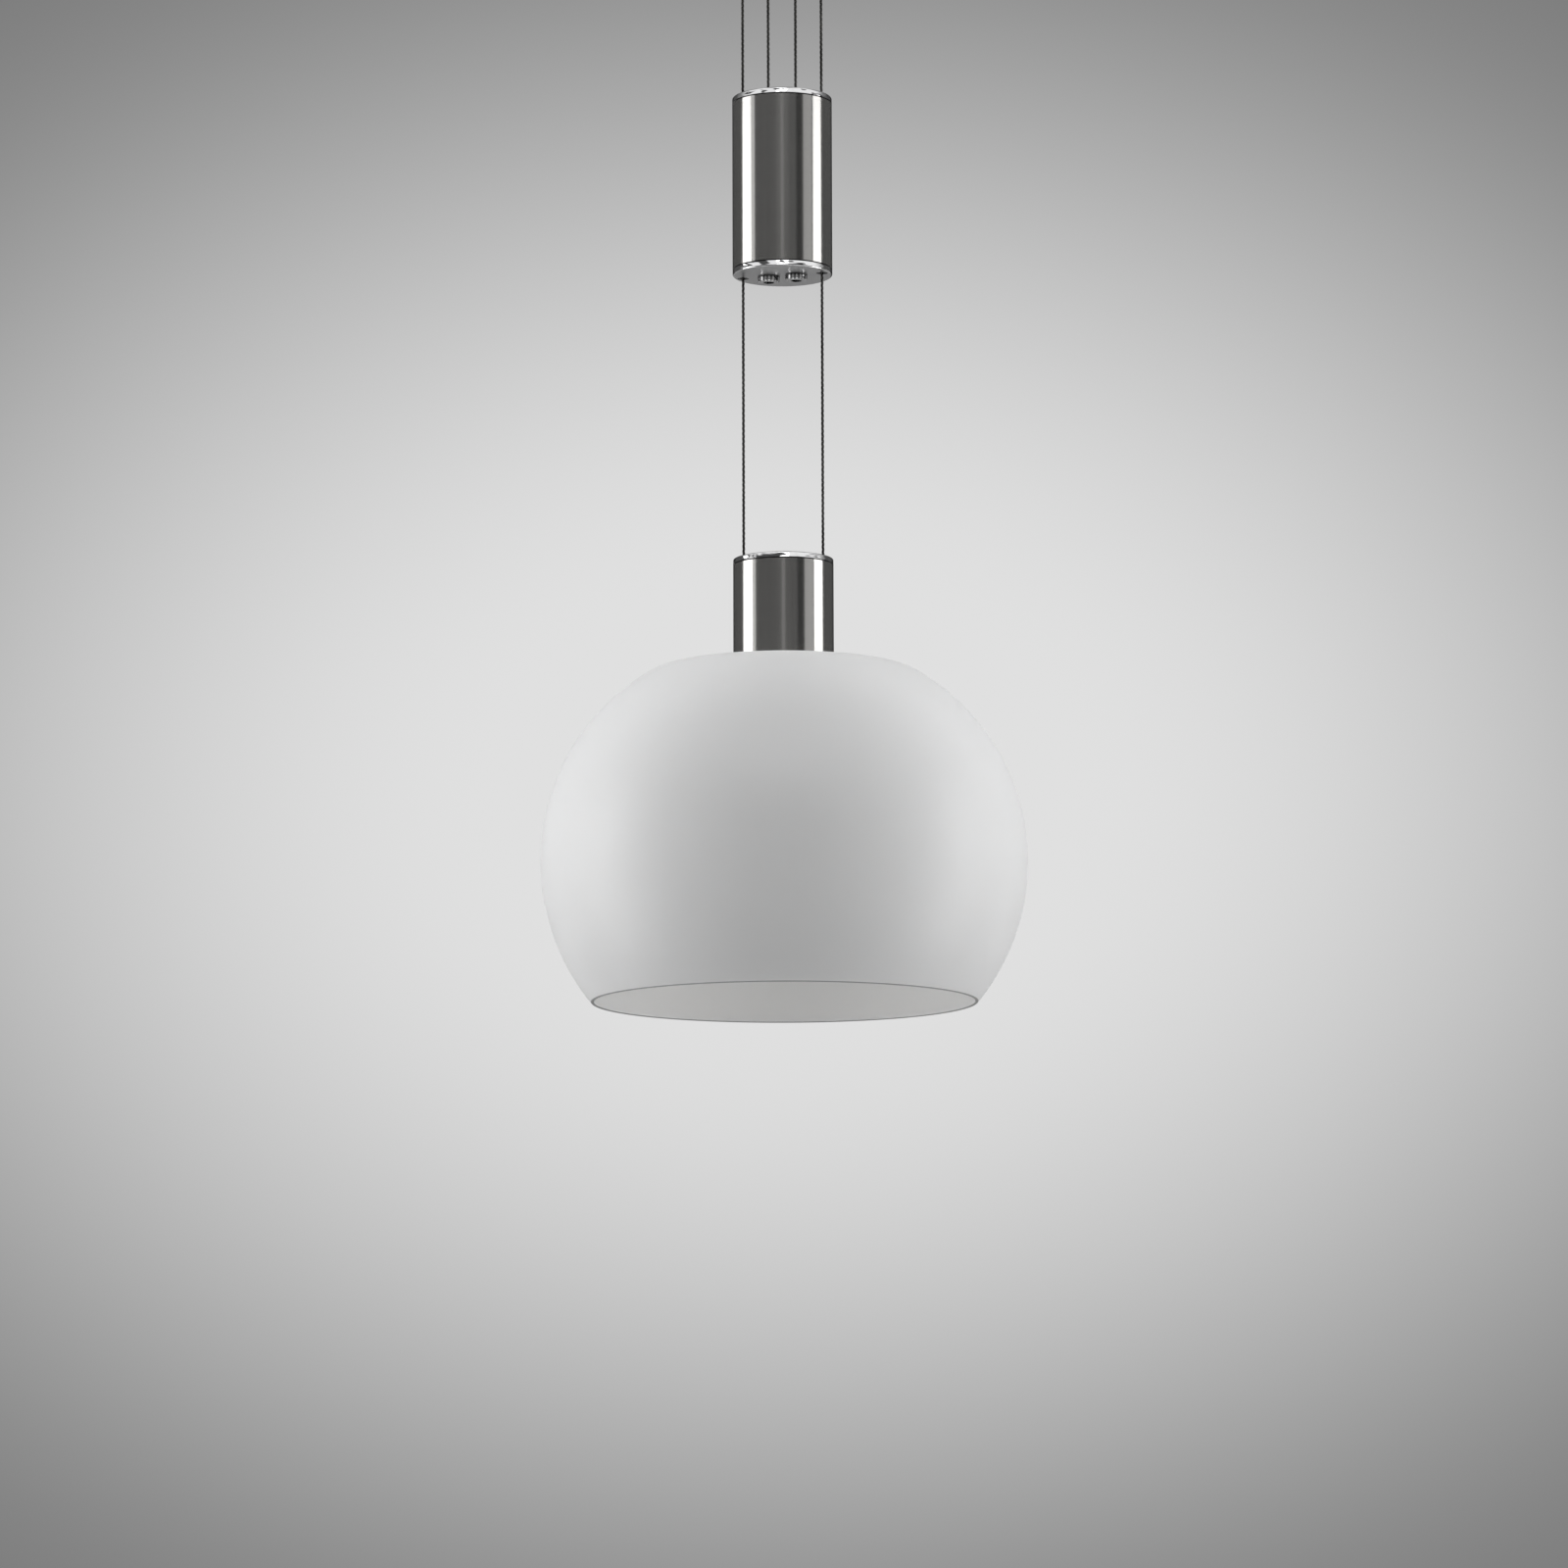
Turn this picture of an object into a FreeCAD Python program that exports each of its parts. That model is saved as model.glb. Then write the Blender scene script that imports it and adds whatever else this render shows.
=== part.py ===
import FreeCAD, Part
import math
import os

# A rise and fall pendant. Two bare wires hang the lamp from the ceiling and carry its low-voltage current.
# Each wire runs from the lamp head up through the counterweight, over a pulley in the canopy and down
# again to a grip in the counterweight, so the weight sinks as far as the lamp is lifted.
# Millimetres, +Z up. The origin is on the ceiling in the middle of the canopy; the wires stand in line
# along X.

# ---------------------------------------------------------------- clearances
seat_gap = 0.05  # radial, between pieces that seat in one another
thread_gap = 0.05  # radial, at a thread drawn plain
running_gap = 0.05  # radial, axle in its bush
groove_gap = 0.3  # between a wire and the pulley groove it lies in
slide_gap = 0.5  # radial, round a wire that slides
grip_gap = 0.1  # radial, round a wire that stays put
face_recess = 0.2  # how far a liner lies below the plate's face

# ---------------------------------------------------------------- wires
wire_d = 1.5
guide_inset = 4.3  # from the outside of the tubes in to the outer wires

# ---------------------------------------------------------------- tubes and end plates they share
tube_d = 50.0
tube_wall = 1.5
plate_t = 3.0  # of the polished ring that shows at a tube's end
plate_edge_r = 0.8
spigot_h = 4.0  # lip of an end plate that centres it in its tube
edge_break = 0.25  # chamfer that leaves a fine dark line between tube and plate

# ---------------------------------------------------------------- canopy
canopy_d = 120.0
canopy_h = 50.0
canopy_wall = 1.5
canopy_lip_w = 2.0  # the floor plate's spigot is a ring this wide

bracket_w = 26.0
bracket_t = 2.5
bracket_rim_gap = 4.5  # from the bracket's end to the canopy's tube
ceiling_slot_spacing = 60.0
ceiling_slot_w = 5.0
ceiling_slot_l = 14.0

post_across_flats = 7.0
post_inset = 6.0  # from the bracket's end to the post's axis
post_thread_d = 4.0
post_thread_depth = 8.0
dome_d = 8.5
dome_h = 3.2
dome_shank_l = 8.0

earth_screw_d = 4.0
earth_head_d = 8.0
earth_head_h = 2.5
earth_screw_y = -7.0

# ---------------------------------------------------------------- pulley set
carrier_l = 54.0
carrier_w = 30.0
carrier_t = 4.0
carrier_corner_r = 4.0
carrier_rib_t = 2.0
carrier_rib_w = 15.0
carrier_rib_h = 20.0
stud_d = 3.0
stud_y = 11.5
stud_nut_across_flats = 5.5
stud_nut_h = 2.4
stud_end = 1.0  # thread standing out of the nut

axle_d = 3.0
axle_rise = 13.0  # from the carrier's top to the axle
axle_head_d = 5.0
axle_head_h = 1.2
axle_end = 1.0  # axle beyond its clip
clip_d = 6.0
clip_t = 0.6
clip_groove_d = 2.4
clip_mouth_w = 2.0
clip_gap = 0.1

wheel_w = 6.0
wheel_rim_rise = 1.65  # rim above the wire's centre line
wheel_land = 1.1  # flat of each rim beside the groove
wheel_edge_break = 0.3
hub_d = 6.0  # outside of the bush pressed into the wheel
hub_flange_d = 8.0
hub_flange_t = 0.8
hub_l = 8.6

yoke_t = 1.5
yoke_w = 10.0
yoke_inner_w = 10.0
yoke_bend_r = 2.4
yoke_head_r = 3.0
yoke_over_axle = 5.0
yoke_screw_d = 3.0
yoke_screw_head_d = 5.5
yoke_screw_head_h = 1.8
yoke_screw_bite = 3.2

bush_flange_d = 8.0
bush_flange_t = 1.5
bush_wall = 1.2
bush_mouth = 0.5  # countersink that eases the wire in

# ---------------------------------------------------------------- electrics in the canopy
driver_w = 28.0
driver_h = 22.0
driver_gap = 2.0  # between the pulley carrier and the driver
driver_lead_room = 11.0  # beyond the driver's end, where a mains lead bends
driver_corner_r = 3.0
driver_edge_r = 1.5
block_pole_w = 10.0
block_poles = 3
block_w = 16.0
block_h = 14.0
block_base_h = 9.3
block_gap = 9.0  # between the pulley carrier and the terminal block
block_corner_r = 1.0
block_hump_d = 8.0
block_entry_d = 3.4
block_entry_l = 5.3
block_entry_rise = 4.7
block_screw_d = 3.0
block_screw_l = 4.0
block_screw_sink = 1.0  # from the hump's top down to the screw
block_well_spare = 1.0  # well below the screw
mains_lead_d = 2.2
mains_lead_rise = 8.0
post_lead_gap = 2.0  # between a mains lead and the support post it passes
feed_lead_d = 1.4
feed_lead_inset = 7.0  # from the driver's face to the lead
feed_lead_loop = 10.0
earth_lead_d = 2.2
earth_lead_drop = 9.0
earth_lead_inset = 1.5  # from the terminal block's face to the lead

# ---------------------------------------------------------------- counterweight
upper_gap_h = 180.0  # canopy to counterweight in the position shown
weight_tube_l = 85.0
core_gap = 0.8  # radial, steel core in its tube; sets the balance with the lamp
liner_wall = 0.9
liner_flange_d = 5.6
liner_flange_t = 1.8
gland_d = 11.0  # knurled head of a grip
gland_spacing = 3.4  # between the two heads
gland_h = 2.4
gland_flutes = 18
gland_flute_d = 0.9
gland_edge_break = 0.4
grip_thread_d = 8.0
grip_thread_l = 17.0
grip_sleeve_wall = 0.7
grip_washer_t = 0.6  # insulating flange under the knurled head
socket_across_flats = 5.0
socket_depth = 1.6
ferrule_d = 3.6
ferrule_l = 6.0
ferrule_gap = 0.1
liner_end_gap = 0.5
tie_screw_d = 4.0
tie_head_d = 8.0
tie_socket_across_flats = 2.0
tie_bite = 4.0
tie_tip_gap = 0.6

# ---------------------------------------------------------------- lamp head
lower_gap_h = 144.2  # counterweight to lamp head in the position shown
head_tube_l = 51.1
head_bush_wall = 1.1
head_bush_flange_d = 5.2
head_bush_flange_t = 1.5
nipple_d = 10.0  # threaded tube that clamps the head to the shade
nipple_wall = 1.5
nipple_bite = 5.5
nipple_window_w = 4.6
nipple_window_h = 26.0
nipple_window_drop = 9.0  # from the end plate's underside to the window
lamp_lead_d = 2.0
lamp_lead_spacing = 3.2  # between the two leads inside the nipple
lamp_lead_drop = 11.0

# ---------------------------------------------------------------- shade and what clamps it
shade_d = 241.0
glass_wall = 3.0
rim_wall = 1.8  # the blown wall thins towards the rim, which is fire-polished to a half round
crown_arc_r = 108.0  # outline from the equator up to the shoulder
crown_cut = 11.7  # the flat top lies this far below the crest of that arc
shoulder_r = 26.0
skirt_arc_r = 111.0  # outline from the equator down to the rim
rim_below_equator = 70.2
neck_hole_d = 42.0
upper_gasket_t = 0.8
upper_gasket_inset = 0.3  # back from the outside of the tube
gasket_hole_gap = 0.4
lower_gasket_t = 1.0
lower_gasket_w = 6.0
dish_flange_d = 60.0
dish_t = 1.5
dish_rise_gap = 0.35  # radial, raised middle of the dish in the neck hole
dish_over_glass = 1.5
dish_draw = 1.5  # slope of the dish's raised wall
dish_bend_r = 0.6
nut_across_flats = 14.0
nut_h = 4.0

# ---------------------------------------------------------------- lampholder and capsule lamp
holder_drop = 5.0  # from the glass top to the holder's collar
collar_d = 13.0
collar_h = 7.0
cup_d = 22.0
cup_wall = 1.0
cup_h = 10.0
cup_edge_r = 1.5
nipple_end_gap = 1.0
ceramic_h = 25.0
ceramic_nose_d = 18.0
ceramic_nose_h = 14.0
ceramic_edge_r = 1.0
pinch_l = 10.0
pinch_w = 4.6
pinch_h = 8.0
pinch_bite = 4.0
pinch_gap = 0.3
pinch_corner_r = 1.0
pin_spacing = 6.35
pin_d = 1.25
pin_l = 6.0
pin_gap = 0.15
capsule_d = 12.0
capsule_l = 34.0
capsule_tip_r = 5.0
capsule_shoulder = 1.5

# ---------------------------------------------------------------- places worked out from the sizes
sides = {"left": -1, "right": 1}

tube_r = tube_d / 2
bore_r = tube_r - tube_wall
guide_x = tube_r - guide_inset  # outer wires, which slide through the weight
grip_x = (gland_d + gland_spacing) / 2  # inner wires, which end in the weight
pulley_x = (guide_x + grip_x) / 2
pulley_r = (guide_x - grip_x) / 2  # radius of the wire's centre line round the pulley

floor_z = -canopy_h
floor_top_z = floor_z + plate_t
carrier_top_z = floor_top_z + carrier_t
axle_z = carrier_top_z + axle_rise
bracket_l = canopy_d - 2 * canopy_wall - 2 * bracket_rim_gap
post_x = bracket_l / 2 - post_inset
post_corner_r = post_across_flats / math.sqrt(3)
mains_lead_x = post_x - post_corner_r - post_lead_gap - mains_lead_d / 2
driver_l = 2 * (mains_lead_x - driver_lead_room)
driver_y = carrier_w / 2 + driver_gap  # face towards the pulleys
block_y = -carrier_w / 2 - block_gap  # face towards the pulleys

weight_top_z = floor_z - upper_gap_h
weight_bottom_z = weight_top_z - 2 * plate_t - weight_tube_l
liner_bore = wire_d + 2 * slide_gap
liner_d = liner_bore + 2 * liner_wall
grip_sleeve_d = grip_thread_d + 2 * thread_gap + 2 * grip_sleeve_wall
grip_top_z = weight_bottom_z - grip_washer_t + grip_thread_l
grip_bottom_z = weight_bottom_z - grip_washer_t - gland_h
weight_ferrule_top_z = grip_bottom_z + socket_depth + ferrule_l

head_top_z = weight_bottom_z - lower_gap_h
head_plate_under_z = head_top_z - plate_t - spigot_h
head_ferrule_top_z = head_plate_under_z - head_bush_flange_t
glass_top_z = head_top_z - plate_t - head_tube_l - upper_gasket_t
equator_r = shade_d / 2
equator_z = glass_top_z - crown_arc_r + crown_cut
wall_end_z = equator_z - rim_below_equator  # where the outside turns into the half-round rim
dish_flange_z = glass_top_z - glass_wall - lower_gasket_t
dish_top_z = glass_top_z + dish_over_glass
nut_top_z = dish_top_z - dish_t
collar_top_z = glass_top_z - holder_drop
cup_top_z = collar_top_z - collar_h
ceramic_top_z = cup_top_z - cup_wall
ceramic_face_z = ceramic_top_z - ceramic_h
nipple_top_z = head_plate_under_z + nipple_bite
nipple_bottom_z = cup_top_z + nipple_end_gap


# ---------------------------------------------------------------- drawing helpers
def point(x, y, z):
    return FreeCAD.Vector(x, y, z)


def rounded_wire(points, radii, closed):
    """Wire through the points, with a tangent arc of the given radius at each corner that has one."""
    spans = []
    for i, corner in enumerate(points):
        is_end = not closed and i in (0, len(points) - 1)
        if is_end or radii[i] <= 0:
            spans.append((corner, None, corner))
            continue
        back = (points[i - 1] - corner).normalize()
        ahead = (points[(i + 1) % len(points)] - corner).normalize()
        half = back.getAngle(ahead) / 2
        inward = (back + ahead).normalize()
        centre = corner + inward * (radii[i] / math.sin(half))
        reach = radii[i] / math.tan(half)
        spans.append((corner + back * reach, centre - inward * radii[i], corner + ahead * reach))
    edges = []
    for i, (start, middle, end) in enumerate(spans):
        if middle is not None:
            edges.append(Part.Arc(start, middle, end).toShape())
        if closed or i + 1 < len(spans):
            following = spans[(i + 1) % len(spans)][0]
            if (following - end).Length > 1e-6:
                edges.append(Part.LineSegment(end, following).toShape())
    return Part.Wire(edges)


def outline(corners, place):
    """Closed face from (a, b) or (a, b, corner radius), put in space by place(a, b)."""
    points = [place(corner[0], corner[1]) for corner in corners]
    radii = [corner[2] if len(corner) > 2 else 0.0 for corner in corners]
    return Part.Face(rounded_wire(points, radii, True))


def positive(solid):
    if solid.Volume < 0:
        solid.reverse()
    return solid


def turned(corners):
    """Solid of revolution about Z from corners (radius, height, corner radius)."""
    face = outline(corners, lambda r, z: point(r, 0, z))
    return positive(face.revolve(point(0, 0, 0), point(0, 0, 1), 360))


def slab(corners, z_low, z_high):
    """Flat piece from corners (x, y, corner radius), between two heights."""
    face = outline(corners, lambda x, y: point(x, y, z_low))
    return positive(face.extrude(point(0, 0, z_high - z_low)))


def rectangle(x_low, x_high, y_low, y_high, corner_r=0.0):
    return [
        (x_low, y_low, corner_r),
        (x_high, y_low, corner_r),
        (x_high, y_high, corner_r),
        (x_low, y_high, corner_r),
    ]


def rod(d, z_low, z_high, x=0.0, y=0.0):
    return Part.makeCylinder(d / 2, z_high - z_low, point(x, y, z_low))


def ring(d_out, d_in, z_low, z_high, x=0.0, y=0.0):
    return rod(d_out, z_low, z_high, x, y).cut(rod(d_in, z_low, z_high, x, y))


def cross_rod(d, y_low, y_high, x, z):
    return Part.makeCylinder(d / 2, y_high - y_low, point(x, y_low, z), point(0, 1, 0))


def hexagon(across_flats, z_low, z_high, x=0.0, y=0.0):
    r = across_flats / math.sqrt(3)
    turns = [math.radians(60 * n) for n in range(6)]
    return slab([(x + r * math.cos(t), y + r * math.sin(t)) for t in turns], z_low, z_high)


def at(shape, x, y=0.0, z=0.0):
    return shape.translated(point(x, y, z))


def mirrored(shape):
    """The same piece on the other side of the pendant."""
    return shape.mirror(point(0, 0, 0), point(1, 0, 0))


def on_side(shape, side):
    return shape if side > 0 else mirrored(shape)


def both_sides(shape):
    return [shape, mirrored(shape)]


def group(solids):
    return Part.makeCompound(solids)


def lead(name, points, d):
    """Round lead along straight runs joined by arcs as large as the runs leave room for."""
    radii = [0.0]
    for before, corner, after in zip(points, points[1:], points[2:]):
        run = min((corner - before).Length, (after - corner).Length)
        turn = (corner - before).getAngle(after - corner)
        radii.append(0.45 * run / math.tan(turn / 2))
    radii.append(0.0)
    path = rounded_wire(points, radii, False)
    start_edge = Part.Edge(Part.Circle(points[0], points[1] - points[0], d / 2))
    tube = positive(path.makePipeShell([Part.Wire([start_edge])], True, True))
    share = tube.Volume / (math.pi * d * d / 4 * path.Length)
    bends = ", ".join(f"{radius:.1f}" for radius in radii[1:-1])
    print(f"{name}: length {path.Length:.1f}, bend radii {bends}, volume over section x length {share:.4f}")
    return tube


# ---------------------------------------------------------------- end plates and tubes
def end_plate(face_z, inward, outer_r, seat_r, lip_w):
    """Polished plate with its face at face_z and its spigot inward: +1 up, -1 down. A lip as wide as the
    seat makes the spigot a full disc."""
    spigot_r = seat_r - seat_gap
    shoulder_z = face_z + inward * plate_t
    end_z = shoulder_z + inward * spigot_h
    lead_in_z = end_z - inward * edge_break
    corners = [
        (0, face_z),
        (outer_r, face_z, plate_edge_r),
        (outer_r, shoulder_z - inward * edge_break),
        (outer_r - edge_break, shoulder_z),
        (spigot_r, shoulder_z),
        (spigot_r, lead_in_z),
        (spigot_r - edge_break, end_z),
    ]
    if lip_w < spigot_r:
        corners += [(spigot_r - lip_w, end_z), (spigot_r - lip_w, shoulder_z), (0, shoulder_z)]
    else:
        corners += [(0, end_z)]
    return turned(corners)


def tube(d, wall, z_low, z_high):
    """Brushed tube with its outer edges broken."""
    outer_r = d / 2
    return turned(
        [
            (outer_r - wall, z_low),
            (outer_r - edge_break, z_low),
            (outer_r, z_low + edge_break),
            (outer_r, z_high - edge_break),
            (outer_r - edge_break, z_high),
            (outer_r - wall, z_high),
        ]
    )


# ---------------------------------------------------------------- ceiling bracket, posts and canopy
def ceiling_bracket():
    half_l = bracket_l / 2
    end_r = bracket_w / 2
    plate = slab(rectangle(-half_l, half_l, -end_r, end_r, end_r), -bracket_t, 0)
    reach = ceiling_slot_l / 2
    half_w = ceiling_slot_w / 2
    cuts = [rod(earth_screw_d + 2 * thread_gap, -bracket_t, 0, 0, earth_screw_y)]
    for side in sides.values():
        x = side * ceiling_slot_spacing / 2
        cuts.append(slab(rectangle(x - reach, x + reach, -half_w, half_w, half_w), -bracket_t, 0))
        cuts.append(rod(post_thread_d + 2 * thread_gap, -bracket_t, 0, side * post_x))
    return plate.cut(cuts)


def support_posts():
    post = hexagon(post_across_flats, floor_top_z, -bracket_t, post_x)
    stud = rod(post_thread_d, -bracket_t, -face_recess, post_x)
    bore = rod(post_thread_d + 2 * thread_gap, floor_top_z, floor_top_z + post_thread_depth, post_x)
    return group(both_sides(post.fuse(stud).cut(bore)))


def dome_screws():
    """Domed screws that hold the canopy up from below."""
    sphere_r = (dome_d * dome_d / 4 + dome_h * dome_h) / (2 * dome_h)
    ball = Part.makeSphere(sphere_r, point(0, 0, floor_z - dome_h + sphere_r))
    head = ball.common(rod(dome_d, floor_z - 2 * dome_h, floor_z))
    screw = head.fuse(rod(post_thread_d, floor_z, floor_z + dome_shank_l))
    return group(both_sides(at(screw, post_x)))


def canopy_tube():
    return tube(canopy_d, canopy_wall, floor_top_z, 0)


def canopy_floor():
    plate = end_plate(floor_z, 1, canopy_d / 2, canopy_d / 2 - canopy_wall, canopy_lip_w)
    stud_top_z = carrier_top_z + stud_nut_h + stud_end
    studs = [rod(stud_d, floor_top_z, stud_top_z, 0, y) for y in (-stud_y, stud_y)]
    cuts = []
    for side in sides.values():
        cuts.append(rod(post_thread_d + 2 * thread_gap, floor_z, floor_top_z, side * post_x))
        cuts += [rod(bush_hole_d(), floor_z, floor_top_z, side * x) for x in (guide_x, grip_x)]
    return plate.fuse(studs).cut(cuts)


def earth_screw():
    head = rod(earth_head_d, -bracket_t - earth_head_h, -bracket_t, 0, earth_screw_y)
    return head.fuse(rod(earth_screw_d, -bracket_t, -face_recess, 0, earth_screw_y))


# ---------------------------------------------------------------- pulley carrier and wire bushes
def bush_barrel_d():
    return liner_bore + 2 * bush_wall


def bush_hole_d():
    return bush_barrel_d() + 2 * seat_gap


def canopy_bushes():
    """Four insulating bushes that lead the wires through the floor and the carrier."""
    top_z = carrier_top_z - face_recess
    bore_r = liner_bore / 2
    bush = turned(
        [
            (bore_r + bush_mouth, floor_z - bush_flange_t),
            (bush_flange_d / 2 - bush_mouth, floor_z - bush_flange_t),
            (bush_flange_d / 2, floor_z - bush_flange_t + bush_mouth),
            (bush_flange_d / 2, floor_z),
            (bush_barrel_d() / 2, floor_z),
            (bush_barrel_d() / 2, top_z),
            (bore_r + bush_mouth, top_z),
            (bore_r, top_z - bush_mouth),
            (bore_r, floor_z - bush_flange_t + bush_mouth),
        ]
    )
    return group([at(bush, side * x) for side in sides.values() for x in (grip_x, guide_x)])


def pulley_carrier():
    """Moulded insulating base with a rib that keeps the two live pulleys apart."""
    half_l = carrier_l / 2
    half_w = carrier_w / 2
    base = slab(rectangle(-half_l, half_l, -half_w, half_w, carrier_corner_r), floor_top_z, carrier_top_z)
    rib_half = carrier_rib_t / 2
    rib_y = carrier_rib_w / 2
    rib = slab(rectangle(-rib_half, rib_half, -rib_y, rib_y), carrier_top_z, carrier_top_z + carrier_rib_h)
    cuts = [rod(stud_d + 2 * thread_gap, floor_top_z, carrier_top_z, 0, y) for y in (-stud_y, stud_y)]
    for side in sides.values():
        cuts += [rod(bush_hole_d(), floor_top_z, carrier_top_z, side * x) for x in (grip_x, guide_x)]
        bite_z = carrier_top_z - yoke_screw_bite
        cuts.append(rod(yoke_screw_d + 2 * thread_gap, bite_z, carrier_top_z, side * pulley_x))
    return base.fuse(rib).cut(cuts)


def carrier_nuts():
    top_z = carrier_top_z + stud_nut_h
    blank = hexagon(stud_nut_across_flats, carrier_top_z, top_z)
    nut = blank.cut(rod(stud_d + 2 * thread_gap, carrier_top_z, top_z))
    return group([at(nut, 0, y) for y in (-stud_y, stud_y)])


# ---------------------------------------------------------------- pulleys
def pulley_yoke():
    """Brass strip bent to a U: its cheeks hold the axle, its web is screwed to the carrier."""
    outer_y = yoke_inner_w / 2 + yoke_t
    inner_y = yoke_inner_w / 2
    top_z = axle_z + yoke_over_axle
    web_z = carrier_top_z + yoke_t
    half_w = yoke_w / 2
    bent = outline(
        [
            (-outer_y, top_z),
            (-outer_y, carrier_top_z, yoke_bend_r),
            (outer_y, carrier_top_z, yoke_bend_r),
            (outer_y, top_z),
            (inner_y, top_z),
            (inner_y, web_z, yoke_bend_r - yoke_t),
            (-inner_y, web_z, yoke_bend_r - yoke_t),
            (-inner_y, top_z),
        ],
        lambda y, z: point(pulley_x - half_w, y, z),
    )
    strip = positive(bent.extrude(point(yoke_w, 0, 0)))
    tongue = outline(
        [
            (pulley_x - half_w, carrier_top_z),
            (pulley_x + half_w, carrier_top_z),
            (pulley_x + half_w, top_z, yoke_head_r),
            (pulley_x - half_w, top_z, yoke_head_r),
        ],
        lambda x, z: point(x, -outer_y, z),
    )
    side_shape = positive(tongue.extrude(point(0, 2 * outer_y, 0)))
    axle_hole = cross_rod(axle_d + 2 * seat_gap, -outer_y, outer_y, pulley_x, axle_z)
    screw_hole = rod(yoke_screw_d + 2 * thread_gap, carrier_top_z, web_z, pulley_x)
    return strip.common(side_shape).cut([axle_hole, screw_hole])


def yoke_screws():
    web_z = carrier_top_z + yoke_t
    head = rod(yoke_screw_head_d, web_z, web_z + yoke_screw_head_h, pulley_x)
    shank = rod(yoke_screw_d, carrier_top_z - yoke_screw_bite + face_recess, web_z, pulley_x)
    return group(both_sides(head.fuse(shank)))


def pulley_axle():
    cheek_y = yoke_inner_w / 2 + yoke_t
    clip_y = cheek_y + clip_gap
    pin = cross_rod(axle_d, -cheek_y, clip_y + clip_t + axle_end, pulley_x, axle_z)
    head = cross_rod(axle_head_d, -cheek_y - axle_head_h, -cheek_y, pulley_x, axle_z)
    groove = cross_rod(axle_d, clip_y, clip_y + clip_t, pulley_x, axle_z)
    neck = cross_rod(clip_groove_d, clip_y, clip_y + clip_t, pulley_x, axle_z)
    return pin.fuse(head).cut(groove.cut(neck))


def axle_clips():
    """Spring clips pushed into the axle grooves from below."""
    y = yoke_inner_w / 2 + yoke_t + clip_gap
    disc = cross_rod(clip_d, y, y + clip_t, pulley_x, axle_z)
    hole = cross_rod(clip_groove_d + 2 * seat_gap, y, y + clip_t, pulley_x, axle_z)
    mouth = slab(
        rectangle(pulley_x - clip_mouth_w / 2, pulley_x + clip_mouth_w / 2, y, y + clip_t),
        axle_z - clip_d,
        axle_z,
    )
    return group(both_sides(disc.cut([hole, mouth])))


def about_axle(shape):
    """Turns a piece made about Z so that it stands on the axle of the right-hand pulley."""
    laid = shape.copy()
    laid.rotate(point(0, 0, 0), point(1, 0, 0), -90)
    return at(laid, pulley_x, 0, axle_z)


def pulley_wheel():
    """Grooved wheel: the groove is round at the bottom, a little wider than the wire, and opens outward."""
    rim_r = pulley_r + wheel_rim_rise
    groove_r = wire_d / 2 + groove_gap
    half_w = wheel_w / 2
    mouth = half_w - wheel_land
    hole_r = hub_d / 2 + seat_gap
    rim = Part.makePolygon(
        [
            point(pulley_r, 0, -groove_r),
            point(rim_r, 0, -mouth),
            point(rim_r, 0, -half_w + wheel_edge_break),
            point(rim_r - wheel_edge_break, 0, -half_w),
            point(hole_r, 0, -half_w),
            point(hole_r, 0, half_w),
            point(rim_r - wheel_edge_break, 0, half_w),
            point(rim_r, 0, half_w - wheel_edge_break),
            point(rim_r, 0, mouth),
            point(pulley_r, 0, groove_r),
        ]
    )
    bottom = Part.Arc(
        point(pulley_r, 0, groove_r), point(pulley_r - groove_r, 0, 0), point(pulley_r, 0, -groove_r)
    )
    face = Part.Face(Part.Wire(rim.Edges + [bottom.toShape()]))
    return about_axle(positive(face.revolve(point(0, 0, 0), point(0, 0, 1), 360)))


def pulley_bush():
    bore_r = axle_d / 2 + running_gap
    half_l = hub_l / 2
    return about_axle(
        turned(
            [
                (bore_r, -half_l),
                (hub_d / 2, -half_l),
                (hub_d / 2, wheel_w / 2),
                (hub_flange_d / 2, wheel_w / 2),
                (hub_flange_d / 2, wheel_w / 2 + hub_flange_t),
                (hub_d / 2, wheel_w / 2 + hub_flange_t),
                (hub_d / 2, half_l),
                (bore_r, half_l),
            ]
        )
    )


# ---------------------------------------------------------------- wires
def wire_over_pulley():
    """The half turn of wire that lies in the pulley's groove."""
    section = Part.Wire([Part.Edge(Part.Circle(point(guide_x, 0, axle_z), point(0, 0, 1), wire_d / 2))])
    axle = point(pulley_x, 0, axle_z)
    return positive(Part.Face(section).revolve(axle, point(0, -1, 0), 180))


def weight_wire():
    return rod(wire_d, weight_ferrule_top_z, axle_z, grip_x)


def lamp_wire():
    return rod(wire_d, head_ferrule_top_z, axle_z, guide_x)


# ---------------------------------------------------------------- electrics in the canopy
def driver_box():
    """Moulded case of the low-voltage supply, bonded to the canopy's floor."""
    half_l = driver_l / 2
    footprint = rectangle(-half_l, half_l, driver_y, driver_y + driver_w, driver_corner_r)
    case = slab(footprint, floor_top_z, floor_top_z + driver_h)
    top_edges = [edge for edge in case.Edges if edge.BoundBox.ZMin > floor_top_z + driver_h - 0.01]
    return case.makeFillet(driver_edge_r, top_edges)


def block_pole_x(pole):
    return (pole - (block_poles - 1) / 2) * block_pole_w


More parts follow.
